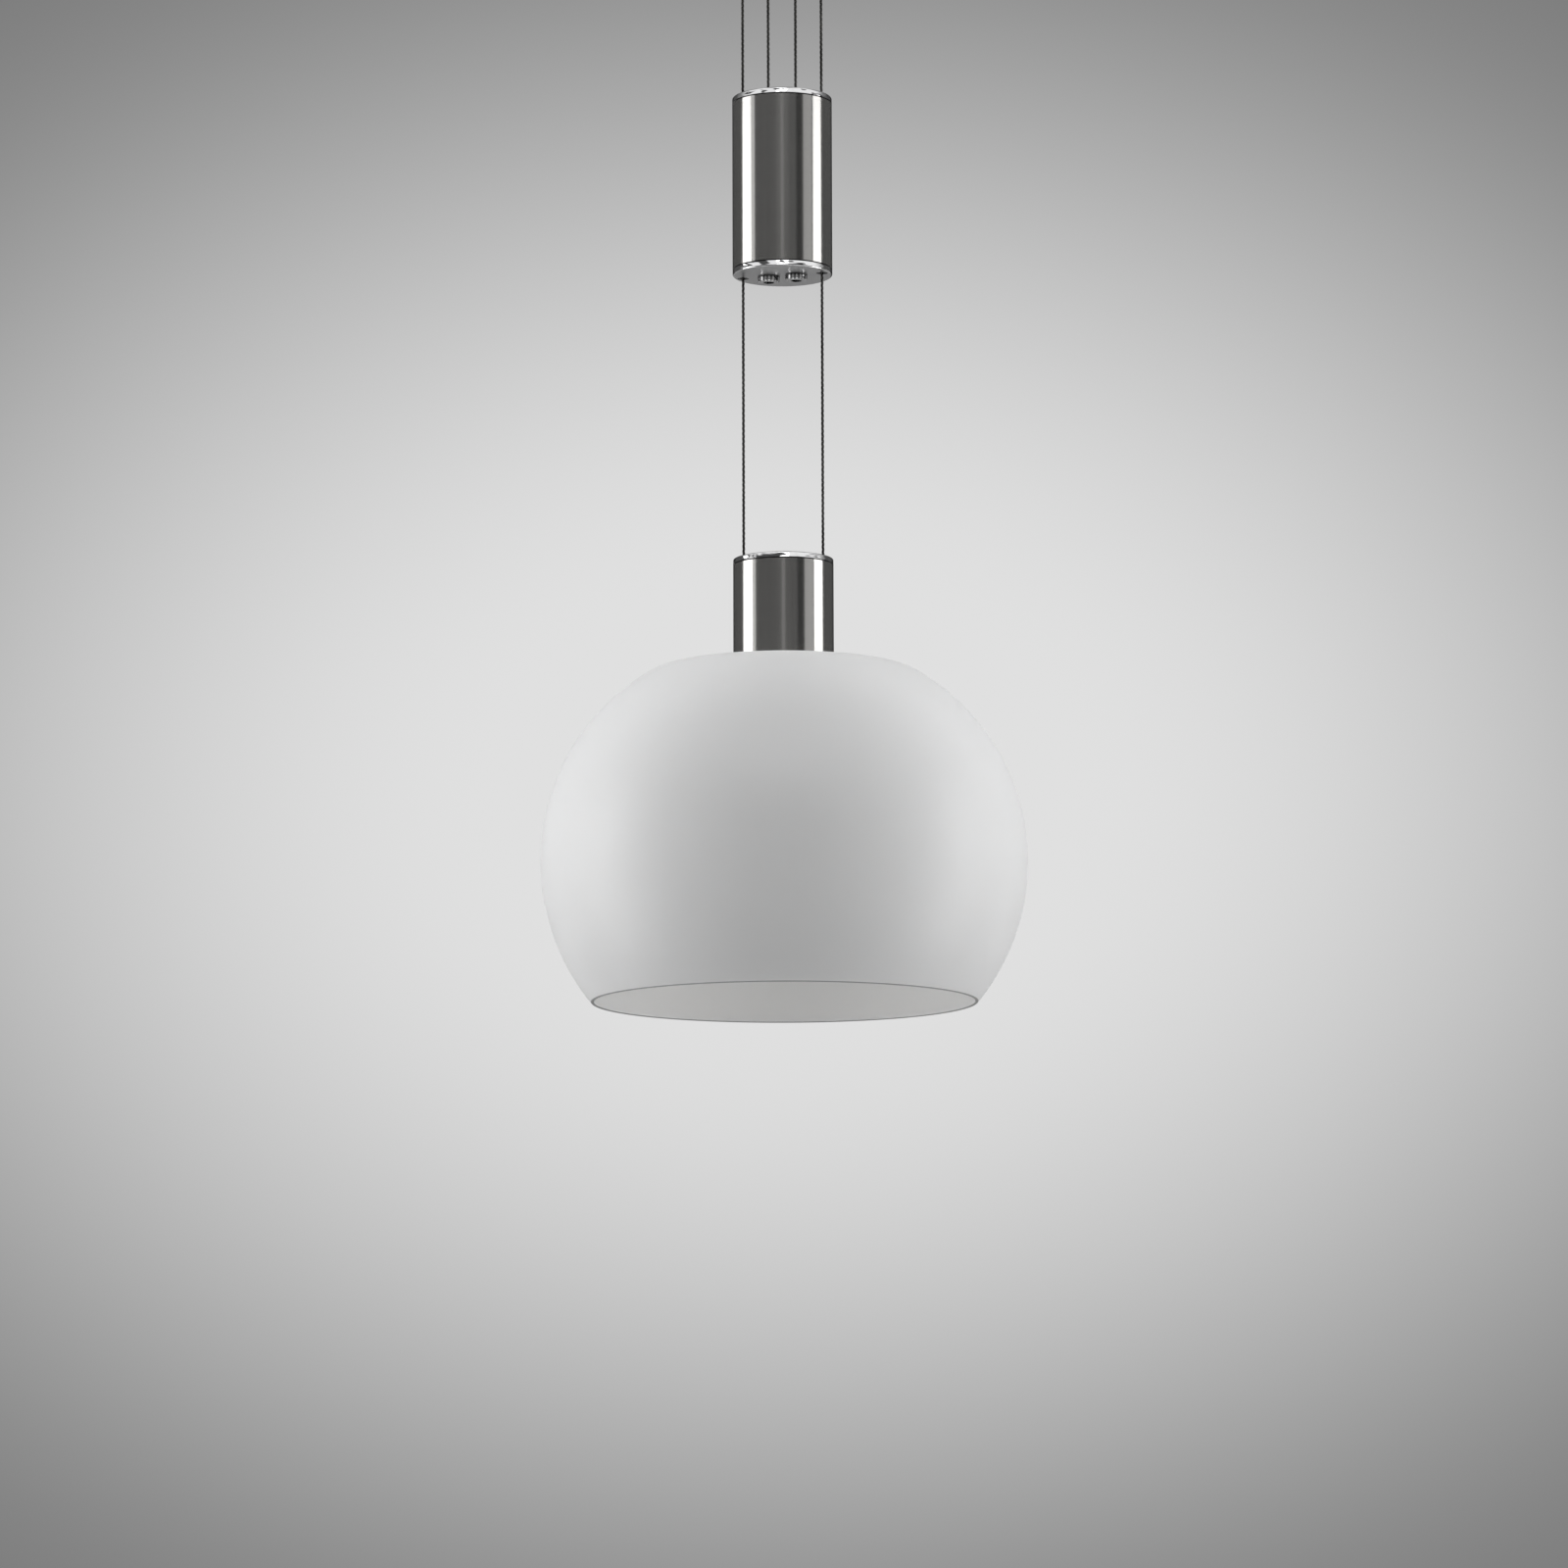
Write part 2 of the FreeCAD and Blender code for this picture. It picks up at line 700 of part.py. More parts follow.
def terminal_block():
    """Terminal strip: one hump with a screw well for each pole and an entry bore from either side."""
    half_l = block_poles * block_pole_w / 2
    low_y = block_y - block_w
    middle_y = block_y - block_w / 2
    hump_z = floor_top_z + block_h
    base_z = floor_top_z + block_base_h
    base = slab(rectangle(-half_l, half_l, low_y, block_y, block_corner_r), floor_top_z, base_z)
    humps = []
    cuts = []
    for pole in range(block_poles):
        x = block_pole_x(pole)
        humps.append(rod(block_hump_d, base_z, hump_z, x, middle_y))
        well_z = hump_z - block_screw_sink - block_screw_l - block_well_spare
        cuts.append(rod(block_screw_d + 2 * thread_gap, well_z, hump_z, x, middle_y))
        entry_z = floor_top_z + block_entry_rise
        cuts.append(cross_rod(block_entry_d, low_y, low_y + block_entry_l, x, entry_z))
    return base.fuse(humps).cut(cuts)


def terminal_screws():
    top_z = floor_top_z + block_h - block_screw_sink
    middle_y = block_y - block_w / 2
    poles = [block_pole_x(pole) for pole in range(block_poles)]
    return group([rod(block_screw_d, top_z - block_screw_l, top_z, x, middle_y) for x in poles])


def mains_leads():
    """Line and neutral, from the ends of the terminal strip round the pulleys to the driver."""
    z = floor_top_z + mains_lead_rise
    block_end_x = block_poles * block_pole_w / 2
    from_y = block_y - block_w / 2
    to_y = driver_y + driver_w / 2
    route = [
        point(block_end_x, from_y, z),
        point(mains_lead_x, from_y, z),
        point(mains_lead_x, to_y, z),
        point(driver_l / 2, to_y, z),
    ]
    return group(both_sides(lead("mains lead", route, mains_lead_d)))


def feed_leads():
    """Low-voltage leads looped from the driver's top to a cheek of each yoke."""
    top_z = floor_top_z + driver_h
    loop_z = max(top_z, axle_z + yoke_over_axle) + feed_lead_loop
    cheek_y = yoke_inner_w / 2 + yoke_t / 2
    start_y = driver_y + feed_lead_inset
    route = [
        point(pulley_x, start_y, top_z),
        point(pulley_x, start_y, loop_z),
        point(pulley_x, cheek_y, loop_z),
        point(pulley_x, cheek_y, axle_z + yoke_over_axle),
    ]
    return group(both_sides(lead("feed lead", route, feed_lead_d)))


def earth_lead():
    """Earth lead from the strip's middle pole to the screw under the bracket."""
    screw_z = -bracket_t - earth_head_h
    start_y = block_y - block_w + earth_lead_inset
    route = [
        point(0, start_y, floor_top_z + block_base_h),
        point(0, start_y, screw_z - earth_lead_drop),
        point(0, earth_screw_y, screw_z - earth_lead_drop),
        point(0, earth_screw_y, screw_z),
    ]
    return lead("earth lead", route, earth_lead_d)


# ---------------------------------------------------------------- counterweight
def liner_channel(z_low, z_high):
    """Channel for an outer liner, open to the side because the wire runs close to the tube."""
    width = liner_d + 2 * seat_gap
    slot = slab(rectangle(guide_x, tube_r, -width / 2, width / 2), z_low, z_high)
    return slot.fuse(rod(width, z_low, z_high, guide_x))


def liner_pocket(face_z, inward, x):
    """Stepped hole in an end plate for a liner and the collar or flange on its end."""
    deep = [face_z, face_z + inward * (face_recess + liner_flange_t)]
    through = [face_z, face_z + inward * (plate_t + spigot_h)]
    pocket = rod(liner_flange_d + 2 * seat_gap, min(deep), max(deep), x)
    return pocket.fuse(rod(liner_d + 2 * seat_gap, min(through), max(through), x))


def weight_top_plate():
    plate = end_plate(weight_top_z, -1, tube_r, bore_r, bore_r)
    spigot = (weight_top_z - plate_t - spigot_h, weight_top_z - plate_t)
    cuts = [liner_pocket(weight_top_z, -1, side * x) for side in sides.values() for x in (grip_x, guide_x)]
    cuts += both_sides(liner_channel(*spigot))
    head = Part.makeCone(
        tie_screw_d / 2 + seat_gap,
        tie_head_d / 2 + seat_gap,
        (tie_head_d - tie_screw_d) / 2,
        point(0, 0, weight_top_z - (tie_head_d - tie_screw_d) / 2),
    )
    cuts += [head, rod(tie_screw_d + 2 * seat_gap, spigot[0], weight_top_z)]
    return plate.cut(cuts)


def weight_bottom_plate():
    plate = end_plate(weight_bottom_z, 1, tube_r, bore_r, bore_r)
    spigot = (weight_bottom_z + plate_t, weight_bottom_z + plate_t + spigot_h)
    cuts = [liner_pocket(weight_bottom_z, 1, side * guide_x) for side in sides.values()]
    cuts += both_sides(liner_channel(*spigot))
    sleeve_hole = rod(grip_sleeve_d + 2 * seat_gap, weight_bottom_z, spigot[1], grip_x)
    cuts += both_sides(sleeve_hole)
    cuts.append(rod(tie_screw_d + 2 * thread_gap, spigot[1] - tie_bite - tie_tip_gap, spigot[1]))
    return plate.cut(cuts)


def weight_tube():
    return tube(tube_d, tube_wall, weight_bottom_z + plate_t, weight_top_z - plate_t)


def core_span():
    return weight_bottom_z + plate_t + spigot_h, weight_top_z - plate_t - spigot_h


def ballast_core():
    """Steel core with open channels for the outer wires, bores for the inner ones and a counterbore
    for each grip."""
    low_z, high_z = core_span()
    core = rod(2 * (bore_r - core_gap), low_z, high_z)
    liner_hole = rod(liner_d + 2 * seat_gap, low_z, high_z, grip_x)
    grip_hole = rod(grip_sleeve_d + 2 * seat_gap, low_z, grip_top_z + liner_end_gap, grip_x)
    cuts = both_sides(liner_channel(low_z, high_z)) + both_sides(liner_hole) + both_sides(grip_hole)
    cuts.append(rod(tie_screw_d + 2 * seat_gap, low_z, high_z))
    return core.cut(cuts)


def tie_screw():
    """Long countersunk screw that clamps both end plates to the tube."""
    cone_h = (tie_head_d - tie_screw_d) / 2
    head = Part.makeCone(tie_screw_d / 2, tie_head_d / 2, cone_h, point(0, 0, weight_top_z - cone_h))
    tip_z = core_span()[0] - tie_bite
    socket = hexagon(tie_socket_across_flats, weight_top_z - cone_h, weight_top_z)
    return head.fuse(rod(tie_screw_d, tip_z, weight_top_z - cone_h)).cut(socket)


def guide_liners():
    """Insulating tubes, flanged below, in which the outer wires slide."""
    low_z = weight_bottom_z + face_recess
    bore = liner_bore / 2
    liner = turned(
        [
            (bore + bush_mouth, low_z),
            (liner_flange_d / 2, low_z),
            (liner_flange_d / 2, low_z + liner_flange_t),
            (liner_d / 2, low_z + liner_flange_t),
            (liner_d / 2, weight_top_z - face_recess),
            (bore, weight_top_z - face_recess),
            (bore, low_z + bush_mouth),
        ]
    )
    return group(both_sides(at(liner, guide_x)))


def grip_liners():
    liner = ring(liner_d, liner_bore, grip_top_z + liner_end_gap, weight_top_z - face_recess, grip_x)
    return group(both_sides(liner))


def liner_collars():
    """Rings pushed over the liners' upper ends in the top plate."""
    top_z = weight_top_z - face_recess
    collar = ring(liner_flange_d, liner_d + 2 * seat_gap, top_z - liner_flange_t, top_z)
    return group([at(collar, side * x) for side in sides.values() for x in (grip_x, guide_x)])


def grip_sleeves():
    """Insulating sleeves between the live grips and the weight."""
    bore = grip_thread_d / 2 + thread_gap
    low_z = weight_bottom_z - grip_washer_t
    sleeve = turned(
        [
            (bore, low_z),
            (gland_d / 2, low_z),
            (gland_d / 2, weight_bottom_z),
            (grip_sleeve_d / 2, weight_bottom_z),
            (grip_sleeve_d / 2, grip_top_z),
            (bore, grip_top_z),
        ]
    )
    return group(both_sides(at(sleeve, grip_x)))


def wire_grip():
    """Grip screwed up into the weight: fluted head with a hexagon socket, and a stepped bore in which the
    crimped end of the wire hangs."""
    head_top_z = weight_bottom_z - grip_washer_t
    body = turned(
        [
            (0, grip_bottom_z),
            (gland_d / 2 - gland_edge_break, grip_bottom_z),
            (gland_d / 2, grip_bottom_z + gland_edge_break),
            (gland_d / 2, head_top_z),
            (grip_thread_d / 2, head_top_z),
            (grip_thread_d / 2, grip_top_z - gland_edge_break),
            (grip_thread_d / 2 - gland_edge_break, grip_top_z),
            (0, grip_top_z),
        ]
    )
    cuts = [
        rod(wire_d + 2 * grip_gap, grip_bottom_z, grip_top_z),
        rod(ferrule_d + 2 * ferrule_gap, grip_bottom_z, weight_ferrule_top_z),
        hexagon(socket_across_flats, grip_bottom_z, grip_bottom_z + socket_depth),
    ]
    for flute in range(gland_flutes):
        turn = 2 * math.pi * flute / gland_flutes
        x = gland_d / 2 * math.cos(turn)
        y = gland_d / 2 * math.sin(turn)
        cuts.append(rod(gland_flute_d, grip_bottom_z, head_top_z, x, y))
    return at(body.cut(cuts), grip_x)


def weight_ferrule():
    return rod(ferrule_d, weight_ferrule_top_z - ferrule_l, weight_ferrule_top_z, grip_x)


# ---------------------------------------------------------------- lamp head
def head_tube():
    return tube(tube_d, tube_wall, glass_top_z + upper_gasket_t, head_top_z - plate_t)


def head_bush_barrel_d():
    return wire_d + 2 * grip_gap + 2 * head_bush_wall


def head_plate():
    plate = end_plate(head_top_z, -1, tube_r, bore_r, bore_r)
    bush_hole = rod(head_bush_barrel_d() + 2 * seat_gap, head_plate_under_z, head_top_z, guide_x)
    nipple_hole = rod(nipple_d + 2 * thread_gap, head_plate_under_z, nipple_top_z + face_recess)
    return plate.cut(both_sides(bush_hole) + [nipple_hole])


def head_bushes():
    """Insulating bushes pulled up against the head plate by the wires' crimped ends."""
    bore = wire_d / 2 + grip_gap
    bush = turned(
        [
            (bore, head_ferrule_top_z),
            (head_bush_flange_d / 2, head_ferrule_top_z),
            (head_bush_flange_d / 2, head_plate_under_z),
            (head_bush_barrel_d() / 2, head_plate_under_z),
            (head_bush_barrel_d() / 2, head_top_z - face_recess),
            (bore, head_top_z - face_recess),
        ]
    )
    return group(both_sides(at(bush, guide_x)))


def head_ferrules():
    return group(both_sides(rod(ferrule_d, head_ferrule_top_z - ferrule_l, head_ferrule_top_z, guide_x)))


def window_span():
    high_z = head_plate_under_z - nipple_window_drop
    return high_z - nipple_window_h, high_z


def nipple():
    """Threaded tube from the head plate to the lampholder, with a window each side for the leads."""
    inside = nipple_d - 2 * nipple_wall
    low_z, high_z = window_span()
    half_w = nipple_window_w / 2
    window = slab(rectangle(-nipple_d, nipple_d, -half_w, half_w), low_z, high_z)
    return ring(nipple_d, inside, nipple_bottom_z, nipple_top_z).cut(window)


def lamp_leads():
    """Flexible leads from the wires' crimped ends through the nipple's windows to the lampholder."""
    start_z = head_ferrule_top_z - ferrule_l
    low_z, high_z = window_span()
    inside_x = lamp_lead_spacing / 2
    route = [
        point(guide_x, 0, start_z),
        point(guide_x, 0, start_z - lamp_lead_drop),
        point(inside_x, 0, (low_z + high_z) / 2),
        point(inside_x, 0, ceramic_top_z),
    ]
    return group(both_sides(lead("lamp lead", route, lamp_lead_d)))


# ---------------------------------------------------------------- shade
def crown_tangents(wall):
    """Where the shoulder arc leaves the crown arc and meets the flat top, for the outside (wall 0) or
    the inside, as points of the half section."""
    crown_r = crown_arc_r - wall
    bend_r = shoulder_r - wall
    crown_x = equator_r - crown_arc_r
    top_z = glass_top_z - wall
    rise = top_z - bend_r - equator_z
    bend_x = crown_x + math.sqrt((crown_r - bend_r) ** 2 - rise * rise)
    bend_centre = point(bend_x, 0, top_z - bend_r)
    crown_centre = point(crown_x, 0, equator_z)
    towards = (bend_centre - crown_centre).normalize()
    leave = crown_centre + towards * crown_r
    middle_way = (towards + point(0, 0, 1)).normalize()
    middle = bend_centre + middle_way * bend_r
    return leave, middle, point(bend_x, 0, top_z)


def on_arc(widest_x, arc_r, height):
    """Point of the half section at a height, on an arc that is widest at the equator."""
    x = widest_x - arc_r + math.sqrt(arc_r * arc_r - (height - equator_z) ** 2)
    return point(x, 0, height)


def rim_round():
    """Where the outside ends, the lowest reach of the half-round rim and where the inside starts. The
    rim stands square across the wall, which leans in here."""
    lean = math.asin(rim_below_equator / skirt_arc_r)
    along = point(-math.sin(lean), 0, -math.cos(lean))
    across = point(-math.cos(lean), 0, math.sin(lean))
    outer_end = on_arc(equator_r, skirt_arc_r, wall_end_z)
    nose = outer_end + across * (rim_wall / 2) + along * (rim_wall / 2)
    return outer_end, nose, outer_end + across * rim_wall


def shade_side(wall, wall_end):
    """Edges from the rim up to the flat top, offset inward by the wall. The lower arc is widest at the
    equator and meets wall_end."""
    widest_x = equator_r - wall
    inset = widest_x - wall_end.x
    depth = equator_z - wall_end.z
    skirt_r = (inset * inset + depth * depth) / (2 * inset)
    crown_r = crown_arc_r - wall
    half_down = on_arc(widest_x, skirt_r, equator_z - depth / 2)
    equator = point(widest_x, 0, equator_z)
    leave, shoulder_middle, flat = crown_tangents(wall)
    half_up = on_arc(widest_x, crown_r, (equator_z + leave.z) / 2)
    edges = [
        Part.Arc(wall_end, half_down, equator).toShape(),
        Part.Arc(equator, half_up, leave).toShape(),
        Part.Arc(leave, shoulder_middle, flat).toShape(),
    ]
    return flat, edges


def glass_shade():
    """Blown opal shade, open below, with a ground flat top and a fire-polished rim."""
    outer_end, nose, inner_end = rim_round()
    outer_flat, outer = shade_side(0, outer_end)
    inner_flat, inner = shade_side(glass_wall, inner_end)
    hole_top = point(neck_hole_d / 2, 0, glass_top_z)
    hole_bottom = point(neck_hole_d / 2, 0, glass_top_z - glass_wall)
    neck = [
        Part.LineSegment(outer_flat, hole_top).toShape(),
        Part.LineSegment(hole_top, hole_bottom).toShape(),
        Part.LineSegment(hole_bottom, inner_flat).toShape(),
    ]
    rim = Part.Arc(outer_end, nose, inner_end).toShape()
    section = Part.Wire(Part.__sortEdges__(outer + neck + inner + [rim]))
    return positive(Part.Face(section).revolve(point(0, 0, 0), point(0, 0, 1), 360))


def upper_gasket():
    hole = neck_hole_d + 2 * gasket_hole_gap
    return ring(tube_d - 2 * upper_gasket_inset, hole, glass_top_z, glass_top_z + upper_gasket_t)


def lower_gasket():
    hole = neck_hole_d + 2 * gasket_hole_gap
    top_z = glass_top_z - glass_wall
    return ring(hole + 2 * lower_gasket_w, hole, top_z - lower_gasket_t, top_z)


def clamp_dish():
    """Pressed dish under the glass: its raised middle centres the shade, its flange carries it."""
    wall_r = neck_hole_d / 2 - dish_rise_gap
    hole_r = nipple_d / 2 + thread_gap
    flange_low_z = dish_flange_z - dish_t
    top_low_z = dish_top_z - dish_t
    return turned(
        [
            (hole_r, top_low_z),
            (wall_r - dish_t - dish_draw, top_low_z, dish_bend_r),
            (wall_r - dish_t, flange_low_z, dish_bend_r),
            (dish_flange_d / 2, flange_low_z),
            (dish_flange_d / 2, dish_flange_z),
            (wall_r, dish_flange_z, dish_bend_r / 2),
            (wall_r - dish_draw, dish_top_z, dish_bend_r + dish_t),
            (hole_r, dish_top_z),
        ]
    )


def clamp_nut():
    hole = rod(nipple_d + 2 * thread_gap, nut_top_z - nut_h, nut_top_z)
    return hexagon(nut_across_flats, nut_top_z - nut_h, nut_top_z).cut(hole)


# ---------------------------------------------------------------- lampholder and lamp
def holder_cup():
    """Metal cup with a threaded collar that screws on to the nipple."""
    hole_r = nipple_d / 2 + thread_gap
    cup_r = cup_d / 2
    return turned(
        [
            (hole_r, collar_top_z),
            (collar_d / 2, collar_top_z),
            (collar_d / 2, cup_top_z),
            (cup_r, cup_top_z, cup_edge_r),
            (cup_r, cup_top_z - cup_h),
            (cup_r - cup_wall, cup_top_z - cup_h),
            (cup_r - cup_wall, ceramic_top_z),
            (hole_r, ceramic_top_z),
        ]
    )


def lampholder():
    """Ceramic lampholder with a slot for the lamp's base and two pin holes."""
    body_r = cup_d / 2 - cup_wall - seat_gap
    nose_z = ceramic_face_z + ceramic_nose_h
    body = turned(
        [
            (0, ceramic_face_z),
            (ceramic_nose_d / 2, ceramic_face_z, ceramic_edge_r),
            (ceramic_nose_d / 2, nose_z),
            (body_r, nose_z),
            (body_r, ceramic_top_z),
            (0, ceramic_top_z),
        ]
    )
    half_l = pinch_l / 2 + pinch_gap
    half_w = pinch_w / 2 + pinch_gap
    slot_top_z = ceramic_face_z + pinch_bite + pinch_gap
    slot = slab(rectangle(-half_l, half_l, -half_w, half_w), ceramic_face_z, slot_top_z)
    pin_hole = rod(pin_d + 2 * pin_gap, slot_top_z, slot_top_z + pin_l + pinch_gap, pin_spacing / 2)
    return body.cut([slot] + both_sides(pin_hole))


def capsule_lamp():
    """Quartz capsule with a flat pinched base."""
    base_top_z = ceramic_face_z + pinch_bite
    base_low_z = base_top_z - pinch_h
    half_l = pinch_l / 2
    half_w = pinch_w / 2
    base = slab(rectangle(-half_l, half_l, -half_w, half_w, pinch_corner_r), base_low_z, base_top_z)
    bulb = turned(
        [
            (0, base_low_z - capsule_l),
            (capsule_d / 2, base_low_z - capsule_l, capsule_tip_r),
            (capsule_d / 2, base_low_z - capsule_shoulder),
            (capsule_d / 2 - capsule_shoulder, base_low_z),
            (0, base_low_z),
        ]
    )
    return bulb.fuse(base)


def lamp_pins():
    low_z = ceramic_face_z + pinch_bite
    return group(both_sides(rod(pin_d, low_z, low_z + pin_l, pin_spacing / 2)))


# ---------------------------------------------------------------- all pieces by name
pieces = {
    "ceiling_bracket": ceiling_bracket(),
    "support_posts": support_posts(),
    "dome_screws": dome_screws(),
    "canopy_tube": canopy_tube(),
    "canopy_floor": canopy_floor(),
    "canopy_bushes": canopy_bushes(),
    "earth_screw": earth_screw(),
    "earth_lead": earth_lead(),
    "pulley_carrier": pulley_carrier(),
    "carrier_nuts": carrier_nuts(),
    "yoke_screws": yoke_screws(),
    "axle_clips": axle_clips(),
    "driver_box": driver_box(),
    "terminal_block": terminal_block(),
    "terminal_screws": terminal_screws(),
    "mains_leads": mains_leads(),
    "feed_leads": feed_leads(),
    "weight_tube": weight_tube(),
    "weight_top_plate": weight_top_plate(),
    "weight_bottom_plate": weight_bottom_plate(),
    "ballast_core": ballast_core(),
    "tie_screw": tie_screw(),
    "guide_liners": guide_liners(),
    "grip_liners": grip_liners(),
    "liner_collars": liner_collars(),
    "grip_sleeves": grip_sleeves(),
    "head_tube": head_tube(),
    "head_plate": head_plate(),
    "head_bushes": head_bushes(),
    "head_ferrules": head_ferrules(),
    "nipple": nipple(),
    "lamp_leads": lamp_leads(),
    "upper_gasket": upper_gasket(),
    "glass_shade": glass_shade(),
    "lower_gasket": lower_gasket(),
    "clamp_dish": clamp_dish(),
    "clamp_nut": clamp_nut(),
    "holder_cup": holder_cup(),
    "lampholder": lampholder(),
    "capsule_lamp": capsule_lamp(),
    "lamp_pins": lamp_pins(),
}

handed = {
    "pulley_yoke": pulley_yoke(),
    "pulley_axle": pulley_axle(),
    "pulley_wheel": pulley_wheel(),
    "pulley_bush": pulley_bush(),
    "wire_over_pulley": wire_over_pulley(),
    "weight_wire": weight_wire(),
    "lamp_wire": lamp_wire(),
    "wire_grip": wire_grip(),
    "weight_ferrule": weight_ferrule(),
}
for name, shape in handed.items():
    for side_name, side in sides.items():
        pieces[f"{name}_{side_name}"] = on_side(shape, side)

os.makedirs("parts", exist_ok=True)
for name, shape in pieces.items():
    shape.exportStep(f"parts/{name}.step")
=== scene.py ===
import math

import bmesh
import bpy
import numpy as np
from mathutils import Matrix, Vector


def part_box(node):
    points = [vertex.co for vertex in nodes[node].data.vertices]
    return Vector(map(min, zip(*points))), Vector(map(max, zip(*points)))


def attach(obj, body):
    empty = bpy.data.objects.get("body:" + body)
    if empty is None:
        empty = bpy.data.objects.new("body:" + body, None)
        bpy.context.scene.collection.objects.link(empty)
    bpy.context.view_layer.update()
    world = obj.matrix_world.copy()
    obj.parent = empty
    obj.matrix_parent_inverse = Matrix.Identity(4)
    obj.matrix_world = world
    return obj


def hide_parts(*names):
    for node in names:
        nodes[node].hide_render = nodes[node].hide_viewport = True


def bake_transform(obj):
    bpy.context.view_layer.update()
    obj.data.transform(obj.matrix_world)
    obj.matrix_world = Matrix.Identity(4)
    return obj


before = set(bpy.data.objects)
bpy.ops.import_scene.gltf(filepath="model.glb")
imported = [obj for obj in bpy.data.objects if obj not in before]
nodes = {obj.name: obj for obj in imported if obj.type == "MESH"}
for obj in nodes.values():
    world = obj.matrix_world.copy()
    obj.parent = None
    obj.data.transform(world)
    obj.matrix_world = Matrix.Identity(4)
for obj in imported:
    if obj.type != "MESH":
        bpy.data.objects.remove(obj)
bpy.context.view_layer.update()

# ---------------------------------------------------------------- the studio
# A plain floor far below the lamp, and a backdrop that is lightest behind the shade. Tall soft boxes stand
# on either side and one hangs high in front; three weak reflectors draw the fine streaks in the brushed
# tubes. The camera stands lower than the lamp and looks up at it.
VIEW_TURN = math.radians(17.5)  # the camera stands this far round from square-on to the wires
VIEW_RISE = math.radians(8.05)  # it looks up by this
VIEW_LEAN = math.radians(-0.17)  # and is rolled by this
VIEW_AWAY = 3.206  # level distance from the lamp's axis
VIEW_HEIGHT = -1.0314  # below the ceiling
PHOTO_WIDTH = 1600
PHOTO_FOCAL = 6670  # in pixels of the photograph
LIT_POINT = Vector((0, 0, -0.5))  # what the soft boxes and reflectors are turned to
FLOOR_Z = -1.75
FLOOR_REACH = 12.0
FLOOR_PAINT = 0.62
FLOOR_BOUNCE = 0.29  # what it throws back at the lamp, as if it were carpeted
FLOOR_MIRRORED = 0.30  # how pale polished metal finds it
BACKDROP_SPREAD = 1.39  # the light spot on the backdrop is this much wider than it is high
SPOT_INNER = 0.030  # sine of the angle out to which the spot is at its brightest
SPOT_OUTER = 0.157  # and at which it ends
SPOT_LEVEL = 0.745
SPOT_EDGE_LEVEL = 0.20
BACKDROP_LEVEL = 0.55  # away from the spot
BACKDROP_STARTS = 0.5  # sine of the angle from which that level holds
ROOM_LEVEL = 0.08  # what polished metal finds in the dim studio round the lamps
ROOM_STREAK = 0.05  # spread of that level from one upright streak to the next
STREAK_CELLS = (9.0, 9.0, 0.6)
ROOM_BY_SPOT = 0.2  # share of that level just outside the spot
ROOM_STARTS = 0.45  # sine of the angle from which all of it is there
CEILING_LEVEL = 0.9
CEILING_STARTS = (0.44, 0.62)  # it comes in between these heights, as sines
CEILING_BEHIND = 0.2  # share of it that is left on the backdrop's side
CEILING_TURNS = (-0.6, -0.1)  # and where that share ends, from the backdrop's side to the camera's
FLAG_TURNS = (0.52, 0.62, 0.76, 0.88)  # a black flag darkens the room between these turns, in radians
FLAG_SHADE = 0.85
AMBIENT_EVEN = 0.36  # the plain level is this all round
AMBIENT_OVERHEAD = 0.25  # share of it that is left at the zenith
AMBIENT_HEIGHTS = (0.35, 0.9)  # and the heights between which it falls off, as sines
AMBIENT_BEYOND = 1.30  # the plain level rises by this towards the backdrop


def round_about(turn, away, height):
    """Place at a level distance from the lamp's axis, turned from where the camera stands."""
    around = VIEW_TURN + turn
    return Vector((away * math.sin(around), -away * math.cos(around), height))


def build_camera():
    data = bpy.data.cameras.new("studio_camera")
    data.sensor_width = 36.0
    data.lens = data.sensor_width * PHOTO_FOCAL / PHOTO_WIDTH
    data.clip_start = 0.05
    data.clip_end = 60.0
    camera = bpy.data.objects.new("studio_camera", data)
    bpy.context.scene.collection.objects.link(camera)
    aim = Matrix.Rotation(VIEW_TURN, 4, "Z") @ Matrix.Rotation(math.pi / 2 + VIEW_RISE, 4, "X")
    place = Matrix.Translation(round_about(0, VIEW_AWAY, VIEW_HEIGHT))
    camera.matrix_world = place @ aim @ Matrix.Rotation(VIEW_LEAN, 4, "Z")
    bpy.context.scene.camera = camera


def soft_box(name, turn, away, height, width, tall, watts):
    """Rectangle of light, turned so many degrees round from the camera."""
    data = bpy.data.lights.new(name, "AREA")
    data.shape = "RECTANGLE"
    data.size = width
    data.size_y = tall
    data.energy = watts
    lamp = bpy.data.objects.new(name, data)
    bpy.context.scene.collection.objects.link(lamp)
    lamp.visible_camera = False
    lamp.location = round_about(math.radians(turn), away, height)
    towards = LIT_POINT - lamp.location
    lamp.rotation_euler = towards.to_track_quat("-Z", "Y").to_euler()


def coordinates(tree, kind):
    return tree.nodes.new("ShaderNodeTexCoord").outputs[kind]


def height_of(tree, vector):
    """The upright part of a vector."""
    parts = tree.nodes.new("ShaderNodeSeparateXYZ")
    tree.links.new(vector, parts.inputs["Vector"])
    return parts.outputs["Z"]


def calculated(tree, operation, *values):
    """One step of arithmetic on values, each a number or what another node gives."""
    node = tree.nodes.new("ShaderNodeMath")
    node.operation = operation
    for socket, value in zip(node.inputs, values):
        if isinstance(value, (int, float)):
            socket.default_value = value
        else:
            tree.links.new(value, socket)
    return node.outputs[0]


